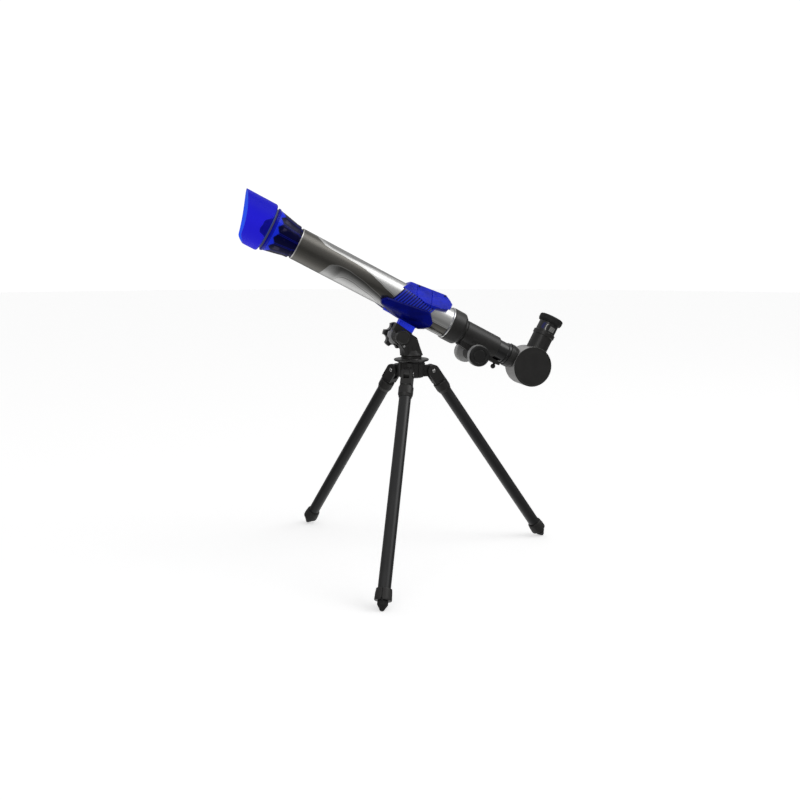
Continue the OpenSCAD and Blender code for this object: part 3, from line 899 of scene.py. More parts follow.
        # Painted reflection: the top of the silver sweep is greyed
        painted_top_reflection = (around - s.curve(self.painted_top_reflection)).ramp(-2.0, 2.0)
        pale = graph.mix(painted_top_reflection * above * 0.8, pale, (0.36, 0.36, 0.355))
        crease = (1.0 - abs(over - 3.4).ramp(0.5, 1.8)) * s.ramp(-128.0, -118.0) * 0.55
        return graph.mix(crease * above, pale, (0.20, 0.20, 0.19))


@dataclass(frozen=True)
class EyepiecePaint:
    """Black barrel with a plain blue field, a white arc and a hatched silver field."""

    name: str
    frame: TubeFrame
    centre: float

    def make(self) -> bpy.types.Material:
        """Returns the material."""
        graph = Graph(self.name)
        s, y, h = self.frame.sockets(graph)
        turn = (-y).angle(s - self.centre)
        grain = graph.noise(2400.0, 2.0)
        black = (0.022, 0.022, 0.023)
        arc = (h - 51.5) * (h - 51.5) * 0.30
        blue = (turn + arc).band(132.0, 150.0, 1.6) * h.band(48.2, 56.0, 0.25)
        white = (turn + arc).band(120.0, 124.5, 1.2) * h.band(47.6, 55.9, 0.3)
        field = turn.band(62.0, 99.0, 1.2) * h.band(48.4, 54.6, 0.25)
        hatch = (h.wrapped(1.6) / 1.6).band(0.2, 0.75, 0.08)
        colour = graph.mix(blue, black, (0.008, 0.012, 0.16))
        colour = graph.mix(white, colour, (0.80, 0.80, 0.80))
        colour = graph.mix(field * (hatch * 0.55 + 0.2), colour, (0.60, 0.60, 0.58))
        return graph.surface(
            Base_Color=colour,
            Roughness=grain * 0.1 + 0.26,
            Normal=graph.bump(grain, 0.00002, 0.3),
            Coat_Weight=0.5,
            Coat_Roughness=0.1,
        )


@dataclass(frozen=True)
class CoatedGlass:
    """Lens glass with a faint coating."""

    name: str
    tint: Colour = (0.80, 0.86, 0.98)

    def make(self) -> bpy.types.Material:
        """Returns the material."""
        graph = Graph(self.name)
        dust = graph.noise(700.0, 4.0)
        return graph.surface(
            Base_Color=graph.mix(dust.ramp(0.6, 0.9) * 0.2, self.tint, (0.9, 0.92, 0.96)),
            Roughness=dust.ramp(0.55, 0.95) * 0.1 + 0.02,
            Transmission_Weight=0.95,
            IOR=1.52,
            Coat_Weight=0.6,
            Coat_Roughness=0.02,
            Coat_Tint=(0.55, 0.4, 0.9),
        )


@dataclass(frozen=True)
class FrontSilver:
    """Silvered surface of the diagonal's mirror."""

    name: str

    def make(self) -> bpy.types.Material:
        """Returns the material."""
        graph = Graph(self.name)
        haze = graph.noise(220.0, 4.0)
        return graph.surface(
            Base_Color=graph.mix(haze * 0.2, (0.92, 0.93, 0.94), (0.8, 0.82, 0.84)),
            Metallic=1.0,
            Roughness=haze * 0.04 + 0.02,
        )


# ------------------------------------------------------------------ mesh helpers


def new_object(name: str, mesh: bpy.types.Mesh, material: bpy.types.Material) -> bpy.types.Object:
    """Links a mesh into the scene.

    Args:
        name: the object's name.
        mesh: its mesh.
        material: its only material.

    Returns:
        The object.
    """
    made = bpy.data.objects.new(name, mesh)
    bpy.context.scene.collection.objects.link(made)
    made.data.materials.clear()
    made.data.materials.append(material)
    return made


def mesh_from(work: bmesh.types.BMesh, name: str) -> bpy.types.Mesh:
    """Turns a work mesh into a named mesh and frees it.

    Args:
        work: the work mesh.
        name: the new mesh's name.

    Returns:
        The new mesh.
    """
    mesh = bpy.data.meshes.new(name)
    work.to_mesh(mesh)
    work.free()
    return mesh


def applied(obj: bpy.types.Object) -> bpy.types.Object:
    """Turns an object's modifiers into its mesh.

    Args:
        obj: the object.

    Returns:
        The same object, with a plain mesh and no modifier.
    """
    depsgraph = bpy.context.evaluated_depsgraph_get()
    mesh = bpy.data.meshes.new_from_object(obj.evaluated_get(depsgraph))
    mesh.name = obj.name
    obj.modifiers.clear()
    obj.data = mesh
    return obj


def cleaned_copy(source: bpy.types.Mesh, name: str) -> bpy.types.Mesh:
    """Copies a loose-triangle mesh with its doubles merged and its flat faces joined.

    Args:
        source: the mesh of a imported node.
        name: the copy's name.

    Returns:
        The copy.
    """
    work = bmesh.new()
    work.from_mesh(source)
    bmesh.ops.remove_doubles(work, verts=work.verts, dist=WELD)
    bmesh.ops.dissolve_limit(
        work, angle_limit=math.radians(0.6), verts=work.verts, edges=work.edges
    )
    bmesh.ops.recalc_face_normals(work, faces=work.faces)
    return mesh_from(work, name)


@dataclass
class EdgeSoftener:
    """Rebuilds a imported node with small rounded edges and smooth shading."""

    width: float
    sharp: float
    segments: int = 2

    def soften(self, node: str, body: str, slot: str, material: bpy.types.Material) -> bpy.types.Object:
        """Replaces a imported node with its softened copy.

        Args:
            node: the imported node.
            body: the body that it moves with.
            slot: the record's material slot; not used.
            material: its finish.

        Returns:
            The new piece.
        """
        source = bpy.data.objects[node]
        mesh = cleaned_copy(source.data, f"{node}_finished")
        piece = new_object(f"{node}_finished", mesh, material)
        for face in mesh.polygons:
            face.use_smooth = True
        bevel = piece.modifiers.new("soft_edges", "BEVEL")
        bevel.width = self.width
        bevel.segments = self.segments
        bevel.limit_method = "ANGLE"
        bevel.angle_limit = math.radians(self.sharp)
        bevel.use_clamp_overlap = True
        bevel.harden_normals = False
        weighted = piece.modifiers.new("even_shading", "WEIGHTED_NORMAL")
        weighted.keep_sharp = False
        weighted.weight = 80
        applied(piece)
        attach(piece, body)
        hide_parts(node)
        return piece


# ------------------------------------------------------------------ geometry node trees


class Builder:
    """A geometry node tree that is built in code and turned into a plain mesh."""

    def __init__(self, name: str, inputs: dict[str, tuple[str, object]]) -> None:
        """Makes a tree with named inputs.

        Args:
            name: the tree's name.
            inputs: each input's name, with its socket type and its value.
        """
        self.tree = bpy.data.node_groups.new(name, "GeometryNodeTree")
        face = self.tree.interface
        face.new_socket("Geometry", in_out="INPUT", socket_type="NodeSocketGeometry")
        face.new_socket("Geometry", in_out="OUTPUT", socket_type="NodeSocketGeometry")
        self.given = inputs
        self.identifiers: dict[str, str] = {}
        for label, (kind, _) in inputs.items():
            socket = face.new_socket(label, in_out="INPUT", socket_type=kind)
            self.identifiers[label] = socket.identifier
        self.start = self.tree.nodes.new("NodeGroupInput")
        self.end = self.tree.nodes.new("NodeGroupOutput")

    def node(
        self, kind: str, settings: dict[str, object], inputs: dict[int | str, object]
    ) -> bpy.types.Node:
        """Adds a node.

        Args:
            kind: the node's type.
            settings: its settings, set first.
            inputs: the value or link of each socket, by its index or name.

        Returns:
            The node.
        """
        made = self.tree.nodes.new(kind)
        for key, setting in settings.items():
            setattr(made, key, setting)
        for key, given in inputs.items():
            if isinstance(given, bpy.types.NodeSocket):
                self.tree.links.new(given, made.inputs[key])
            else:
                made.inputs[key].default_value = given
        return made

    def input(self, label: str) -> bpy.types.NodeSocket:
        """Returns the socket of a named input."""
        return self.start.outputs[label]

    def finish(self, geometry: bpy.types.NodeSocket, material: bpy.types.Material) -> None:
        """Ends the tree in real, finished geometry.

        Args:
            geometry: the geometry to end with.
            material: its finish.
        """
        real = self.node("GeometryNodeRealizeInstances", {}, {0: geometry})
        smooth = self.node("GeometryNodeSetShadeSmooth", {}, {0: real.outputs[0], "Shade Smooth": True})
        dressed = self.node("GeometryNodeSetMaterial", {}, {0: smooth.outputs[0], "Material": material})
        self.tree.links.new(dressed.outputs[0], self.end.inputs[0])

    def grow(
        self, name: str, base: bpy.types.Mesh, material: bpy.types.Material
    ) -> bpy.types.Object:
        """Runs the tree on a mesh and keeps the result as a plain mesh.

        Args:
            name: the new object's name.
            base: the mesh that the tree starts from.
            material: its finish.

        Returns:
            The new object.
        """
        made = new_object(name, base, material)
        modifier = made.modifiers.new("grow", "NODES")
        modifier.node_group = self.tree
        for label, (_, value) in self.given.items():
            modifier[self.identifiers[label]] = value
        applied(made)
        made.data.materials.clear()
        made.data.materials.append(material)
        for face in made.data.polygons:
            face.material_index = 0
        return made


# ------------------------------------------------------------------ shared workshop


@dataclass
class Workshop:
    """What every sub-assembly needs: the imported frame, and which body and slot a node has."""

    frame: dict
    tube: TubeFrame
    body_of: dict[str, str] = field(default_factory=dict)
    slot_of: dict[str, str] = field(default_factory=dict)
    joints: dict[str, dict] = field(default_factory=dict)
    made: int = 0

    @classmethod
    def from_frame(cls, frame: dict) -> "Workshop":
        """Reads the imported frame.


        Returns:
            The workshop.
        """
        record = frame["record"]
        shop = cls(frame, TubeFrame.from_joints(frame["joints"]))
        for body, nodes in record["behaviour"]["bodies"].items():
            shop.body_of.update({node: body for node in nodes})
        shop.slot_of = {part["node"]: part["material_slot"] for part in record["subparts"]}
        shop.joints = {joint["name"]: joint for joint in frame["joints"]}
        return shop

    def points(self, node: str) -> list[Vector]:
        """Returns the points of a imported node."""
        return [vertex.co for vertex in self.frame["nodes"][node].data.vertices]

    def dress(self, node: str, material: bpy.types.Material) -> None:
        """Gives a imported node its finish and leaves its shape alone.

        Args:
            node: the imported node.
            material: its finish.
        """
        mesh = self.frame["nodes"][node].data
        mesh.materials.clear()
        mesh.materials.append(material)
        LOG.info("dressed %s", node)

    def soften(
        self, node: str, material: bpy.types.Material, width: float = 0.3, sharp: float = 34.0
    ) -> bpy.types.Object:
        """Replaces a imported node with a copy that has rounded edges.

        Args:
            node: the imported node.
            material: its finish.
            width: how far the rounding reaches, in millimetres.
            sharp: the least angle of an edge that is rounded, in degrees.

        Returns:
            The new piece.
        """
        self.dress(node, material)
        softener = EdgeSoftener(width * MM, sharp)
        piece = softener.soften(node, self.body_of[node], self.slot_of[node], material)
        self.made += 1
        LOG.info("softened %s: %d faces", node, len(piece.data.polygons))
        return piece

    def add(self, piece: bpy.types.Object, body: str, slot: str) -> bpy.types.Object:
        """Lets a new piece ride on a body.

        Args:
            piece: the piece, in place.
            body: the body.
            slot: the record's material slot; not used.

        Returns:
            The same piece.
        """
        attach(piece, body)
        self.made += 1
        LOG.info("added %s: %d faces", piece.name, len(piece.data.polygons))
        return piece


def placed_points(name: str, places: Sequence[tuple[Vector, Vector]]) -> bpy.types.Mesh:
    """Makes a mesh of loose points that each carry a direction.

    Args:
        name: the mesh's name.
        places: each point's place and outward direction.

    Returns:
        The mesh, with a vector attribute named facing.
    """
    mesh = bpy.data.meshes.new(name)
    mesh.from_pydata([tuple(place) for place, _ in places], [], [])
    facing = mesh.attributes.new("facing", "FLOAT_VECTOR", "POINT")
    for index, (_, direction) in enumerate(places):
        facing.data[index].vector = direction
    return mesh


def facing_rotation(builder: Builder) -> bpy.types.NodeSocket:
    """Adds the nodes that turn Z to the points' facing attribute.

    Args:
        builder: the tree.

    Returns:
        The rotation.
    """
    facing = builder.node(
        "GeometryNodeInputNamedAttribute", {"data_type": "FLOAT_VECTOR"}, {"Name": "facing"}
    )
    turned = builder.node(
        "FunctionNodeAlignRotationToVector", {"axis": "Z"}, {"Vector": facing.outputs[0]}
    )
    return turned.outputs[0]


class PlacedCopies:
    """A geometry node tree that puts a copy of one shape at each point of a mesh."""

    def __init__(self, name: str, sizes: dict[str, float | int]) -> None:
        """Makes the tree, with a named input for each size.

        Args:
            name: the tree's name.
            sizes: each input's name and value; a whole number makes an integer input.
        """
        kinds = {int: "NodeSocketInt", float: "NodeSocketFloat"}
        self.tree = Builder(name, {label: (kinds[type(size)], size) for label, size in sizes.items()})
        self.result: bpy.types.NodeSocket | None = None

    def triple(self, **parts: object) -> bpy.types.NodeSocket:
        """Returns a vector of the given X, Y and Z, which are values or links."""
        return self.tree.node("ShaderNodeCombineXYZ", {}, parts).outputs[0]

    def place(self, shape: bpy.types.NodeSocket) -> None:
        """Puts the shape at each point, with its Z along the point's direction.

        Args:
            shape: the shape's geometry.
        """
        placed = self.tree.node("GeometryNodeInstanceOnPoints", {}, {
            "Points": self.tree.start.outputs[0], "Instance": shape,
            "Rotation": facing_rotation(self.tree),
        })
        self.result = placed.outputs["Instances"]

    def fit(
        self, name: str, places: Sequence[tuple[Vector, Vector]], material: bpy.types.Material
    ) -> bpy.types.Object:
        """Fits the copies.

        Args:
            name: the piece's name.
            places: each copy's place and the direction that it faces.
            material: the finish.

        Returns:
            The piece.
        """
        self.tree.finish(self.result, material)
        return self.tree.grow(name, placed_points(name, places), material)


class CrossHeadScrews(PlacedCopies):
    """Small domed screws with a cross recess."""

    def __init__(self, radius: float, height: float, slot: float) -> None:
        """Builds the tree.

        Args:
            radius: a head's radius.
            height: how far it stands up.
            slot: the recess's width.
        """
        super().__init__(
            "cross_head_screws", {"Head Radius": radius, "Head Height": height, "Slot Width": slot}
        )
        tree = self.tree
        wide, high = tree.input("Head Radius"), tree.input("Head Height")
        ball = tree.node("GeometryNodeMeshUVSphere", {}, {"Segments": 28, "Rings": 14, "Radius": 1.0})
        size = self.triple(X=wide, Y=wide, Z=high)
        dome = tree.node("GeometryNodeTransform", {}, {0: ball.outputs[0], "Scale": size})
        reach = tree.node("ShaderNodeMath", {"operation": "MULTIPLY"}, {0: wide, 1: 1.25})
        head = dome.outputs[0]
        for across, other in (("X", "Y"), ("Y", "X")):
            box = self.triple(**{across: reach.outputs[0], other: tree.input("Slot Width"), "Z": high})
            cube = tree.node("GeometryNodeMeshCube", {}, {"Size": box})
            cutter = tree.node(
                "GeometryNodeTransform", {}, {0: cube.outputs[0], "Translation": self.triple(Z=high)}
            )
            cut = tree.node("GeometryNodeMeshBoolean", {"operation": "DIFFERENCE"}, {
                0: head, 1: cutter.outputs[0],
            })
            head = cut.outputs[0]
        self.place(head)


class RingSet(PlacedCopies):
    """Thin round-edged rings."""

    def __init__(self, radius: float, thickness: float) -> None:
        """Builds the tree.

        Args:
            radius: a ring's radius, at the middle of its wall.
            thickness: the radius of its round wall.
        """
        super().__init__("ring_set", {"Ring Radius": radius, "Wall Radius": thickness})
        tree = self.tree
        path, wall = (
            tree.node(
                "GeometryNodeCurvePrimitiveCircle", {},
                {"Resolution": points, "Radius": tree.input(label)},
            )
            for label, points in (("Ring Radius", 48), ("Wall Radius", 10))
        )
        tube = tree.node("GeometryNodeCurveToMesh", {}, {0: path.outputs[0], 1: wall.outputs[0]})
        self.place(tube.outputs[0])


class RibRing(PlacedCopies):
    """Straight raised ribs around an axis, such as knurling or a grip.

    The ribs are made around Z at the origin and then moved to each point of a mesh, so that
    both knobs of a pair come from one tree.
    """

    def __init__(
        self, count: int, radius: float, length: float, width: float, height: float, lean: float
    ) -> None:
        """Builds the tree.

        Args:
            count: the number of ribs.
            radius: the radius that they stand on.
            length: a rib's length along the axis.
            width: its width.
            height: how far it stands out.
            lean: how much the far end stands further out than the near end, in degrees.
        """
        super().__init__("rib_ring", {
            "Count": count, "Radius": radius, "Length": length, "Width": width, "Height": height,
        })
        tree = self.tree
        circle = tree.node(
            "GeometryNodeMeshCircle", {},
            {"Vertices": tree.input("Count"), "Radius": tree.input("Radius")},
        )
        ball = tree.node("GeometryNodeMeshUVSphere", {}, {"Segments": 10, "Rings": 8, "Radius": 0.5})
        size = self.triple(X=tree.input("Height"), Y=tree.input("Width"), Z=tree.input("Length"))
        rib = tree.node("GeometryNodeTransform", {}, {
            0: ball.outputs[0], "Scale": size, "Rotation": (0.0, math.radians(lean), 0.0),
        })
        place = tree.node("GeometryNodeInputPosition", {}, {})
        outward = tree.node(
            "FunctionNodeAlignRotationToVector", {"axis": "X", "pivot_axis": "Z"},
            {"Vector": place.outputs[0]},
        )
        ribs = tree.node("GeometryNodeInstanceOnPoints", {}, {
            "Points": circle.outputs[0], "Instance": rib.outputs[0],
            "Rotation": outward.outputs[0],
        })
        self.place(ribs.outputs["Instances"])


# ------------------------------------------------------------------ sub-assemblies


@dataclass
class Tripod:
    """Hub, three telescoping legs and their feet."""

    shop: Workshop
    legs: int = 3
    collar_ribs: int = 16
    collar_radius: float = 8.85 * MM
    collar_rib_length: float = 7.6 * MM
    collar_rib_width: float = 0.9 * MM
    collar_rib_height: float = 0.8 * MM
    collar_lean: float = 2.5
    rivet_zone: float = 4 * MM
    # Dark rings of painted shade around the rivet heads: how deep they sit, their radius and their wall
    shade_ring_inset: float = 0.92 * MM
    shade_ring_radius: float = 2.75 * MM
    shade_ring_wall: float = 0.28 * MM

    def build(self) -> None:
        """Dresses the tripod and adds its grip ribs and the dark rings of painted shade around its
        rivets.
        """
        plastic = MouldedPlastic("hub_plastic").make()
        grip = MouldedPlastic("collar_plastic", roughness=0.5, coat=0.05).make()
        metal = BrightMetal("rivet_metal", (0.72, 0.71, 0.70), 0.22).make()
        rubber = Rubber("foot_rubber").make()
        inner = BrightMetal("inner_leg_metal", (0.16, 0.16, 0.165), 0.24).make()
        # Near-black plastic for the rings of painted shade around the rivet heads
        dark = MouldedPlastic("rivet_shade_ring", (0.012, 0.012, 0.012), roughness=0.35).make()
        self.shop.soften("tripod_hub", plastic, 0.35)
        glossy = MouldedPlastic("flange_plastic", roughness=0.3, coat=0.35).make()
        self.shop.soften("hub_flange", glossy, 0.25)
        self.shop.soften("leg_rivets", metal, 0.15)
        self.shop.dress("pan_bolt", metal)
        for leg in range(1, self.legs + 1):
            along = Vector(self.shop.joints[f"leg_extend_{leg}"]["axis"])
            paint = PaintedTube(f"leg_paint_{leg}", along).make()
            self.shop.soften(f"leg_knuckle_{leg}", plastic, 0.5)
            self.shop.soften(f"leg_sleeve_{leg}", plastic, 0.3)
            self.shop.soften(f"leg_tube_{leg}", paint, 0.1, 60.0)
            self.shop.soften(f"leg_clamp_{leg}", grip, 0.3)
            self.shop.soften(f"inner_leg_{leg}", inner, 0.1, 60.0)
            self.shop.soften(f"foot_tip_{leg}", rubber, 0.2)
            self.add_collar_ribs(leg, along, grip)
        self.add_rivet_shade_rings(dark)

    def pivot(self, leg: int) -> tuple[Vector, Vector]:
        """Returns the place and axis of a leg's rivet."""
        joint = self.shop.joints[f"leg_fold_{leg}"]
        return Vector(joint["pos_m"]), Vector(joint["axis"])

    def rivet_half(self, leg: int) -> float:
        """Measures a leg's rivet.

        Args:
            leg: the leg's number.

        Returns:
            How far the rivet reaches on each side of its middle.
        """
        place, axis = self.pivot(leg)
        reach = 0.0
        for point in self.shop.points("leg_rivets"):
            offset = point - place
            side = offset.dot(axis)
            if (offset - axis * side).length < self.rivet_zone:
                reach = max(reach, abs(side))
        return reach

    def add_rivet_shade_rings(self, material: bpy.types.Material) -> None:
        """Adds a dark ring of painted shade around each rivet's head.

        Args:
            material: the rings' finish, a near-black plastic for the painted shade.
        """
        places = []
        for leg in range(1, self.legs + 1):
            place, axis = self.pivot(leg)
            face = self.rivet_half(leg) - self.shade_ring_inset
            places += [(place + axis * side * face, axis * side) for side in (-1, 1)]
        rings = RingSet(self.shade_ring_radius, self.shade_ring_wall).fit("rivet_shade_rings", places, material)
        self.shop.add(rings, "stand", "black_plastic")

    def add_collar_ribs(self, leg: int, along: Vector, material: bpy.types.Material) -> None:
        """Adds the grip ribs around a leg's collar.

        Args:
            leg: the leg's number.
            along: the direction in which the leg extends.
            material: the ribs' finish.
        """
        low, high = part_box(f"leg_clamp_{leg}")
        centre = (low + high) / 2
        place, _ = self.pivot(leg)
        on_axis = place + along * along.dot(centre - place)
        ribs = RibRing(
            self.collar_ribs, self.collar_radius, self.collar_rib_length,
            self.collar_rib_width, self.collar_rib_height, self.collar_lean,
        )
        piece = ribs.fit(f"collar_ribs_{leg}", [(on_axis, along)], material)
        self.shop.add(piece, f"leg_{leg}", "black_plastic")


@dataclass
class Head:
    """Post, tilt bolt and star knob."""

    shop: Workshop

    def build(self) -> None:
        """Dresses the head."""
        plastic = MouldedPlastic("head_plastic").make()
        gloss = MouldedPlastic("knob_plastic", (0.020, 0.020, 0.021), roughness=0.26, coat=0.5).make()
        metal = BrightMetal("bolt_metal").make()
        self.shop.soften("head_post", plastic, 0.45)
        satin = MouldedPlastic("cap_plastic", roughness=0.36, coat=0.3).make()
        self.shop.soften("tilt_cap", satin, 0.2)
        self.shop.soften("star_knob", gloss, 0.5)
        self.shop.soften("tilt_washer", SilverPlastic("washer_silver", (0.9, 0.9, 0.9)).make(), 0.15)
        self.shop.soften("tilt_bolt", metal, 0.2)
        self.shop.soften("post_screw", metal, 0.1)
        self.shop.soften("tilt_bracket", plastic, 0.3)


@dataclass
class Saddle:
    """Blue saddle around the tube: fairing, ribbed bands, pods, foot block and screws."""

    shop: Workshop
    rib_depth: float = 1.1
    rib_tip: float = 0.25
    screw_radius: float = 1.45 * MM
    screw_height: float = 0.7 * MM
    recess: float = 0.4 * MM

    def build(self) -> None:
        """Dresses the saddle and fits its screws."""
        fairing = TranslucentPlastic(
            "fairing_blue", (0.001, 0.003, 0.13), (0.012, 0.028, 0.74), 0.2, 0.18, 0.08
        ).make()
        pod = TranslucentPlastic(
            "pod_blue", (0.0005, 0.001, 0.050), (0.002, 0.006, 0.23), 0.2, 0.12, 0.07
        ).make()
        block = TranslucentPlastic(
            "block_blue", (0.003, 0.008, 0.36), (0.030, 0.060, 0.95), 0.2, 0.3, 0.1
        ).make()
        band = RibbedPlastic("band_blue", self.shop.tube, *self.rib_levels()).make()
        self.shop.soften("saddle_fairing", fairing, 0.5, 12.0)
        self.shop.soften("pod_near", pod, 0.7, 12.0)
        self.shop.soften("pod_far", pod, 0.7, 12.0)
        self.shop.soften("saddle_band", band, 0.1)
        self.shop.soften("saddle_cradle", block, 0.25)
        self.fit_screws()

    def rib_levels(self) -> tuple[float, float]:
        """Returns the radius between the band's ribs and that of their tops."""
        places = [self.shop.tube.local(point) for point in self.shop.points("saddle_band")]
        top = max(math.hypot(y, h) for _, y, h in places) / MM
        return top - self.rib_depth, top - self.rib_tip

    def fit_screws(self) -> None:
        """Replaces the plain screws with cross-head ones in the same places."""
        node = self.shop.frame["nodes"]["saddle_screws"]
        places = [self.screw_place(points) for points in loose_parts(node.data)]
        steel = BrightMetal("screw_steel", (0.05, 0.05, 0.055), 0.3).make()
        screws = CrossHeadScrews(self.screw_radius, self.screw_height, self.recess)
        piece = screws.fit("saddle_screw_heads", places, steel)
        self.shop.dress("saddle_screws", steel)
        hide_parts("saddle_screws")
        self.shop.add(piece, "tube", self.shop.slot_of["saddle_screws"])

    def screw_place(self, points: Sequence[Vector]) -> tuple[Vector, Vector]:
        """Finds where a screw's head sits, from the points of its two rims.

        Args:
            points: the points of the short cylinder.

        Returns:
            The middle of its outer rim, and the direction out of the saddle.
        """
        centre = sum(points, Vector()) / len(points)
        outward = self.shop.tube.up
        best = 0.0
        for first in points:
            for second in points:
                reach = second - first
                if best < reach.length and self.is_side_line(points, centre, reach):
                    best = reach.length
                    outward = reach.normalized()
        if outward.dot(self.shop.tube.up) < 0:
            outward = -outward
        return centre + outward * (best / 2), outward

    def is_side_line(self, points: Sequence[Vector], centre: Vector, reach: Vector) -> bool:
        """Tells whether a direction is the axis: every point is then on one of two levels.

        Args:
            points: the points of the short cylinder.
            centre: its middle.
            reach: the direction, as long as the cylinder would be.

        Returns:
            Whether it is.
        """
        axis = reach.normalized()
        half = reach.length / 2
        slack = 0.02 * MM
        return all(abs(abs((point - centre).dot(axis)) - half) < slack for point in points)


def loose_parts(mesh: bpy.types.Mesh) -> list[list[Vector]]:
    """Splits a mesh into its separate solids.

    Args:
        mesh: the mesh.

    Returns:
        The points of each solid, in order of their middles.
    """
    work = bmesh.new()
    work.from_mesh(mesh)
    bmesh.ops.remove_doubles(work, verts=work.verts, dist=WELD)
    left = set(work.verts)
    parts = []
    while left:
        queue = [left.pop()]
        points = []
        while queue:
            vertex = queue.pop()
            points.append(vertex.co.copy())
            for edge in vertex.link_edges:
                other = edge.other_vert(vertex)
                if other in left:
                    left.remove(other)
                    queue.append(other)
        parts.append(points)
    work.free()
    return sorted(parts, key=lambda points: tuple(sum(points, Vector()) / len(points)))


@dataclass
class OpticalTube:
    """Hood, lens cell, objective and painted main tube."""

    shop: Workshop
    hood_radius: float = 28.0
    grip_proud: float = 0.35
    grip_sunk: float = 0.4
    grip_rings: int = 4
    grip_setback: float = 2.5

    def build(self) -> None:
        """Dresses the front of the telescope and adds the hood's finger grips."""
        tube = self.shop.tube
        front, rear = self.span("main_tube")
        cell_front, cell_rear = self.span("lens_cell")
        self.shop.soften("main_tube", TubePaint("tube_paint", tube, front).make(), 0.15, 50.0)
        self.shop.soften(
            "lens_cell", CellPlastic("cell_blue", tube, cell_front, cell_rear).make(), 0.25
        )
        hood = HoodPlastic("hood_blue", tube, self.shoulder(), self.hood_radius).make()
        self.shop.soften("dew_hood", hood, 0.3)
        self.shop.dress("objective_lens", CoatedGlass("objective_glass").make())
        black = MouldedPlastic("retainer_black", roughness=0.4).make()
        self.shop.soften("lens_retainer", black, 0.15)
        baffle = MouldedPlastic("baffle_black", (0.01, 0.01, 0.014), roughness=0.6, coat=0.0).make()
        self.shop.dress("cell_baffle", baffle)
        chrome = BrightMetal("trim_chrome", (0.80, 0.80, 0.79), 0.12).make()
        self.shop.soften("trim_ring", chrome, 0.15)
        self.add_grips()

    def span(self, node: str) -> tuple[float, float]:
        """Returns a node's reach along the tube, in millimetres."""
        places = [self.shop.tube.local(point)[0] / MM for point in self.shop.points(node)]
        return min(places), max(places)

    def shoulder(self) -> float:
        """Returns where the hood's full width ends, in millimetres along the tube."""
        places = [self.shop.tube.local(point) for point in self.shop.points("dew_hood")]
        wide = 0.9 * self.hood_radius * MM
        return max(s for s, y, h in places if math.hypot(y, h) > wide) / MM

    def grip_outline(self) -> list[tuple[float, float]]:
        """Returns the (s, arc length) outline of one grip, with its corners rounded."""
        edge = self.shoulder()
        corners = [(edge - max(reach, self.grip_setback), height) for height, reach in GRIP_EDGE]
        rounded = [corners[0]]
        for before, after in zip(corners, corners[1:]):
            for share in (0.25, 0.75):
                rounded.append(tuple(a + (b - a) * share for a, b in zip(before, after)))
        rounded.append(corners[-1])
        radius = self.hood_radius
        return [(s, radius * math.asin(height / radius)) for s, height in rounded]

    def add_grips(self) -> None:
        """Adds the darker, slightly raised finger grips on both flanks of the hood."""
        material = TranslucentPlastic(
            "grip_blue", (0.003, 0.003, 0.24), (0.006, 0.006, 0.40), 0.3, 0.25, 0.1
        ).make()
        work = bmesh.new()
        for side in (-1, 1):
            self.add_grip(work, side)
        bmesh.ops.recalc_face_normals(work, faces=work.faces)
        mesh = mesh_from(work, "hood_grips")
        piece = new_object("hood_grips", mesh, material)
        for face in mesh.polygons:
            face.use_smooth = True
        bevel = piece.modifiers.new("soft_edges", "BEVEL")
        bevel.width = 0.2 * MM
        bevel.segments = 2
        bevel.angle_limit = math.radians(50)
        applied(piece)
        self.shop.add(piece, "hood", self.shop.slot_of["dew_hood"])

    def add_grip(self, work: bmesh.types.BMesh, side: int) -> None:
        """Adds one grip as a thin curved plate.

        Args:
            work: the mesh that takes it.
            side: -1 for the near flank and 1 for the far one.
        """
        outline = self.grip_outline()
        middle = tuple(sum(parts) / len(outline) for parts in zip(*outline))
        rims = []
        for radius in (self.hood_radius + self.grip_proud, self.hood_radius - self.grip_sunk):
            rings = []
            for level in range(self.grip_rings):
                share = 1 - level / self.grip_rings
                places = [
                    tuple(m + (part - m) * share for m, part in zip(middle, corner))
                    for corner in outline
                ]
                rings.append([work.verts.new(self.on_hood(*at, radius, side)) for at in places])
            for before, after in zip(rings, rings[1:]):
                self.bridge(work, before, after)
            hub = work.verts.new(self.on_hood(*middle, radius, side))
            last = rings[-1]
            for vertex, following in zip(last, last[1:] + last[:1]):
                work.faces.new((vertex, following, hub))
            rims.append(rings[0])
        self.bridge(work, *rims)

    def bridge(
        self, work: bmesh.types.BMesh, first: list[bmesh.types.BMVert], second: list[bmesh.types.BMVert]
    ) -> None:
        """Joins two rings of the same length with faces.

        Args:
            work: the mesh that holds them.
            first: the points of one ring.
            second: the points of the other, in the same order.
        """
        for k in range(len(first)):
            work.faces.new((first[k - 1], first[k], second[k], second[k - 1]))

    def on_hood(self, s: float, arc: float, radius: float, side: int) -> Vector:
        """Returns a place on the hood.

        Args:
            s: the place along the tube, in millimetres.
            arc: how far it is up around the hood from the flank, in millimetres.
            radius: the distance from the axis, in millimetres.
            side: -1 for the near flank and 1 for the far one.

        Returns:
            The place, in metres.
        """
        turn = arc / self.hood_radius
        return self.shop.tube.point(
            s * MM, side * radius * math.cos(turn) * MM, radius * math.sin(turn) * MM
        )


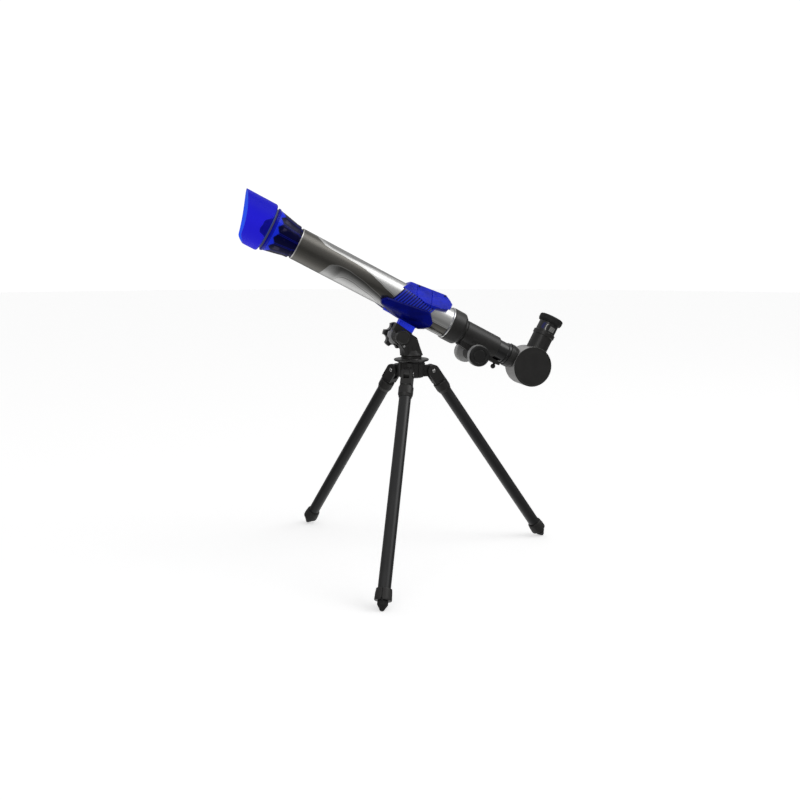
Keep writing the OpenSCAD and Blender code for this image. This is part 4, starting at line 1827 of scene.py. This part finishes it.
@dataclass
class Focuser:
    """Rear collar, focuser body, draw tube and the pair of focus knobs."""

    shop: Workshop
    ribs: int = 60
    rib_share: float = 0.62
    rib_size: float = 0.5 * MM
    rib_sunk: float = 0.05 * MM

    def build(self) -> None:
        """Dresses the focuser and knurls its knobs."""
        plastic = MouldedPlastic("focuser_plastic").make()
        self.shop.soften("rear_collar", plastic, 0.3)
        self.shop.soften("focuser_body", plastic, 0.35)
        paint = PaintedTube("draw_paint", self.shop.tube.along, (0.018, 0.018, 0.019), 0.2).make()
        self.shop.soften("draw_tube", paint, 0.15, 50.0)
        self.shop.soften("focus_rack", plastic, 0.05, 50.0)
        self.shop.soften("pinion_shaft", BrightMetal("shaft_metal").make(), 0.05, 50.0)
        silver = SilverPlastic("skirt_silver").make()
        self.shop.soften("knob_skirts", silver, 0.25)
        face = MouldedPlastic("knob_face_black", (0.016, 0.016, 0.016), roughness=0.34).make()
        self.shop.soften("knob_faces", face, 0.25)
        self.shop.soften("lock_screw", plastic, 0.2)
        self.add_knurling(silver)

    def add_knurling(self, material: bpy.types.Material) -> None:
        """Adds fine ridges around both skirts.

        Args:
            material: the ridges' finish.
        """
        joint = self.shop.joints["focus_knob_turn"]
        axis = Vector(joint["axis"])
        centre = Vector(joint["pos_m"])
        offsets = [point - centre for point in self.shop.points("knob_skirts")]
        radius = max((offset - axis * offset.dot(axis)).length for offset in offsets)
        places = []
        for side in (-1, 1):
            reach = [offset.dot(axis) * side for offset in offsets if offset.dot(axis) * side > 0]
            inner, outer = min(reach), max(reach)
            places.append((centre + axis * side * (outer + inner) / 2, axis * side))
        ribs = RibRing(
            self.ribs, radius - self.rib_sunk, (outer - inner) * self.rib_share,
            self.rib_size, self.rib_size, 0.0,
        )
        piece = ribs.fit("knob_knurling", places, material)
        self.shop.add(piece, "pinion", self.shop.slot_of["knob_skirts"])


@dataclass
class Diagonal:
    """Star diagonal with its eyepiece."""

    shop: Workshop

    def build(self) -> None:
        """Dresses the diagonal and the eyepiece."""
        tube = self.shop.tube
        plastic = MouldedPlastic("diagonal_plastic", roughness=0.5, coat=0.05).make()
        self.shop.soften("end_ring", MouldedPlastic("ring_plastic").make(), 0.25)
        silver = SilverPlastic("housing_silver", (0.70, 0.69, 0.68)).make()
        self.shop.soften("diagonal_housing", silver, 0.3)
        self.shop.soften("diagonal_caps", plastic, 0.4)
        self.shop.dress("diagonal_mirror", FrontSilver("mirror_silver").make())
        self.shop.soften("eyepiece_holder", MouldedPlastic("holder_plastic", roughness=0.36).make(), 0.3)
        low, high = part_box("eyepiece_barrel")
        centre, _, _ = tube.local((low + high) / 2)
        paint = EyepiecePaint("barrel_paint", tube, centre / MM).make()
        self.shop.soften("eyepiece_barrel", paint, 0.15, 50.0)
        self.shop.dress("eyepiece_lenses", CoatedGlass("eyepiece_glass").make())
        self.shop.soften("eyecup", Rubber("eyecup_rubber").make(), 0.3)


class SkyGraph(Graph):
    """The node tree of the studio's surroundings."""

    def __init__(self, world: bpy.types.World) -> None:
        """Empties a world's tree.

        Args:
            world: the world.
        """
        world.use_nodes = True
        self.tree = world.node_tree
        self.tree.nodes.clear()
        self._place = None

    def direction(self) -> bpy.types.NodeSocket:
        """Returns the direction in which the surroundings are seen."""
        return self.node("ShaderNodeTexCoord", {}, {}).outputs["Generated"]

    def shine(self, strength: Value) -> None:
        """Ends the tree in white light.

        Args:
            strength: how strong it is in each direction.
        """
        light = self.node(
            "ShaderNodeBackground", {}, {"Color": (1.0, 1.0, 1.0, 1.0), "Strength": strength}
        )
        self.node("ShaderNodeOutputWorld", {}, {"Surface": light.outputs[0]})


@dataclass
class Stage:
    """Pale floor, white surroundings, soft lights and the camera."""

    camera_place: tuple[float, float, float] = (-0.2797, -0.9690, 0.3597)
    azimuth: float = -15.33
    elevation: float = 9.534
    lens: float = 38.21
    dome_radius: float = 9.0
    target: tuple[float, float, float] = (0.0, 0.0, 0.25)

    def build(self) -> None:
        """Builds the stage."""
        self.add_floor()
        self.add_dome()
        self.add_sky()
        self.add_camera()
        self.add_light("softbox", (1.45, -0.55, 1.55), size=0.9, power=3.0)
        self.add_light("front", (-1.1, -1.7, 0.7), size=1.2, power=5.5)

    def add_floor(self) -> None:
        """Adds the floor: a wide pale disc."""
        work = bmesh.new()
        bmesh.ops.create_circle(work, cap_ends=True, segments=64, radius=self.dome_radius)
        graph = Graph("floor_white")
        haze = graph.noise(3.0, 2.0)
        floor = new_object("floor", mesh_from(work, "floor"), graph.surface(
            Base_Color=graph.mix(haze * 0.1, (0.85, 0.85, 0.85), (0.82, 0.82, 0.82)),
            Roughness=0.9,
            Specular_IOR_Level=0.0,
            Emission_Color=(1.0, 1.0, 1.0),
            Emission_Strength=0.55,
        ))
        self.keep_out_of_light(floor)

    def add_dome(self) -> None:
        """Adds the white surroundings, which are seen but give no light."""
        work = bmesh.new()
        bmesh.ops.create_uvsphere(work, u_segments=48, v_segments=24, radius=self.dome_radius)
        bmesh.ops.reverse_faces(work, faces=work.faces)
        graph = Graph("backdrop_white")
        haze = graph.noise(1.0, 1.0)
        dome = new_object("backdrop", mesh_from(work, "backdrop"), graph.surface(
            Base_Color=graph.mix(haze * 0.05, (0.0, 0.0, 0.0), (0.01, 0.01, 0.01)),
            Specular_IOR_Level=0.0,
            Emission_Color=(1.0, 1.0, 1.0),
            Emission_Strength=1.05,
        ))
        dome.visible_shadow = False
        self.keep_out_of_light(dome)

    def keep_out_of_light(self, backdrop: bpy.types.Object) -> None:
        """Lets the camera see a backdrop that no light or reflection on the telescope sees.

        Args:
            backdrop: the floor or the dome.
        """
        backdrop.visible_glossy = False
        backdrop.visible_diffuse = False
        backdrop.visible_transmission = False

    def add_sky(self) -> None:
        """Gives soft light from above and behind, and little from the front."""
        world = bpy.data.worlds.new("studio")
        bpy.context.scene.world = world
        sky = SkyGraph(world)
        seen = sky.direction()
        height = sky.vector_part(seen, (0.0, 0.0, 1.0))
        back = sky.vector_part(seen, (0.0, 1.0, 0.0))
        toward_box = sky.vector_part(seen, (0.69, -0.26, 0.67))
        box = toward_box.ramp(0.84, 0.97) * 0.95
        right = sky.vector_part(seen, (0.41, -0.90, 0.12)).ramp(0.86, 0.99) * 0.16
        above = height.ramp(0.05, 0.7) * 0.30
        behind = back.ramp(0.3, 0.95) * 0.16
        below = (-height).ramp(0.35, 0.9) * (back.ramp(-0.6, 0.5) * 0.55 + 0.2)
        sky.shine(box + right + above + behind + below + 0.10)

    def add_light(
        self, name: str, place: tuple[float, float, float], size: float, power: float
    ) -> None:
        """Adds a square soft light that points at the telescope.

        Args:
            name: its name.
            place: where it hangs.
            size: its side.
            power: its power in watts.
        """
        data = bpy.data.lights.new(name, "AREA")
        data.size = size
        data.energy = power
        light = bpy.data.objects.new(name, data)
        bpy.context.scene.collection.objects.link(light)
        light.location = place
        away = Vector(place) - Vector(self.target)
        light.rotation_euler = away.to_track_quat("Z", "Y").to_euler()

    def add_camera(self) -> None:
        """Adds the camera."""
        data = bpy.data.cameras.new("camera")
        data.lens = self.lens
        data.sensor_width = 36.0
        data.clip_start = 0.01
        camera = bpy.data.objects.new("camera", data)
        bpy.context.scene.collection.objects.link(camera)
        camera.location = self.camera_place
        camera.rotation_euler = (math.radians(90 - self.elevation), 0.0, math.radians(self.azimuth))
        bpy.context.scene.camera = camera
        bpy.context.scene.view_settings.view_transform = "Standard"


def main() -> None:
    """Builds every sub-assembly in order."""
    logging.basicConfig(level=logging.INFO, format="%(name)s: %(message)s")
    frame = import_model()
    Stage().build()
    shop = Workshop.from_frame(frame)
    for assembly in (Tripod, Head, Saddle, OpticalTube, Focuser, Diagonal):
        LOG.info("building the %s", assembly.__name__)
        assembly(shop).build()
    LOG.info("made %d pieces", shop.made)


if __name__ == "__main__":
    main()
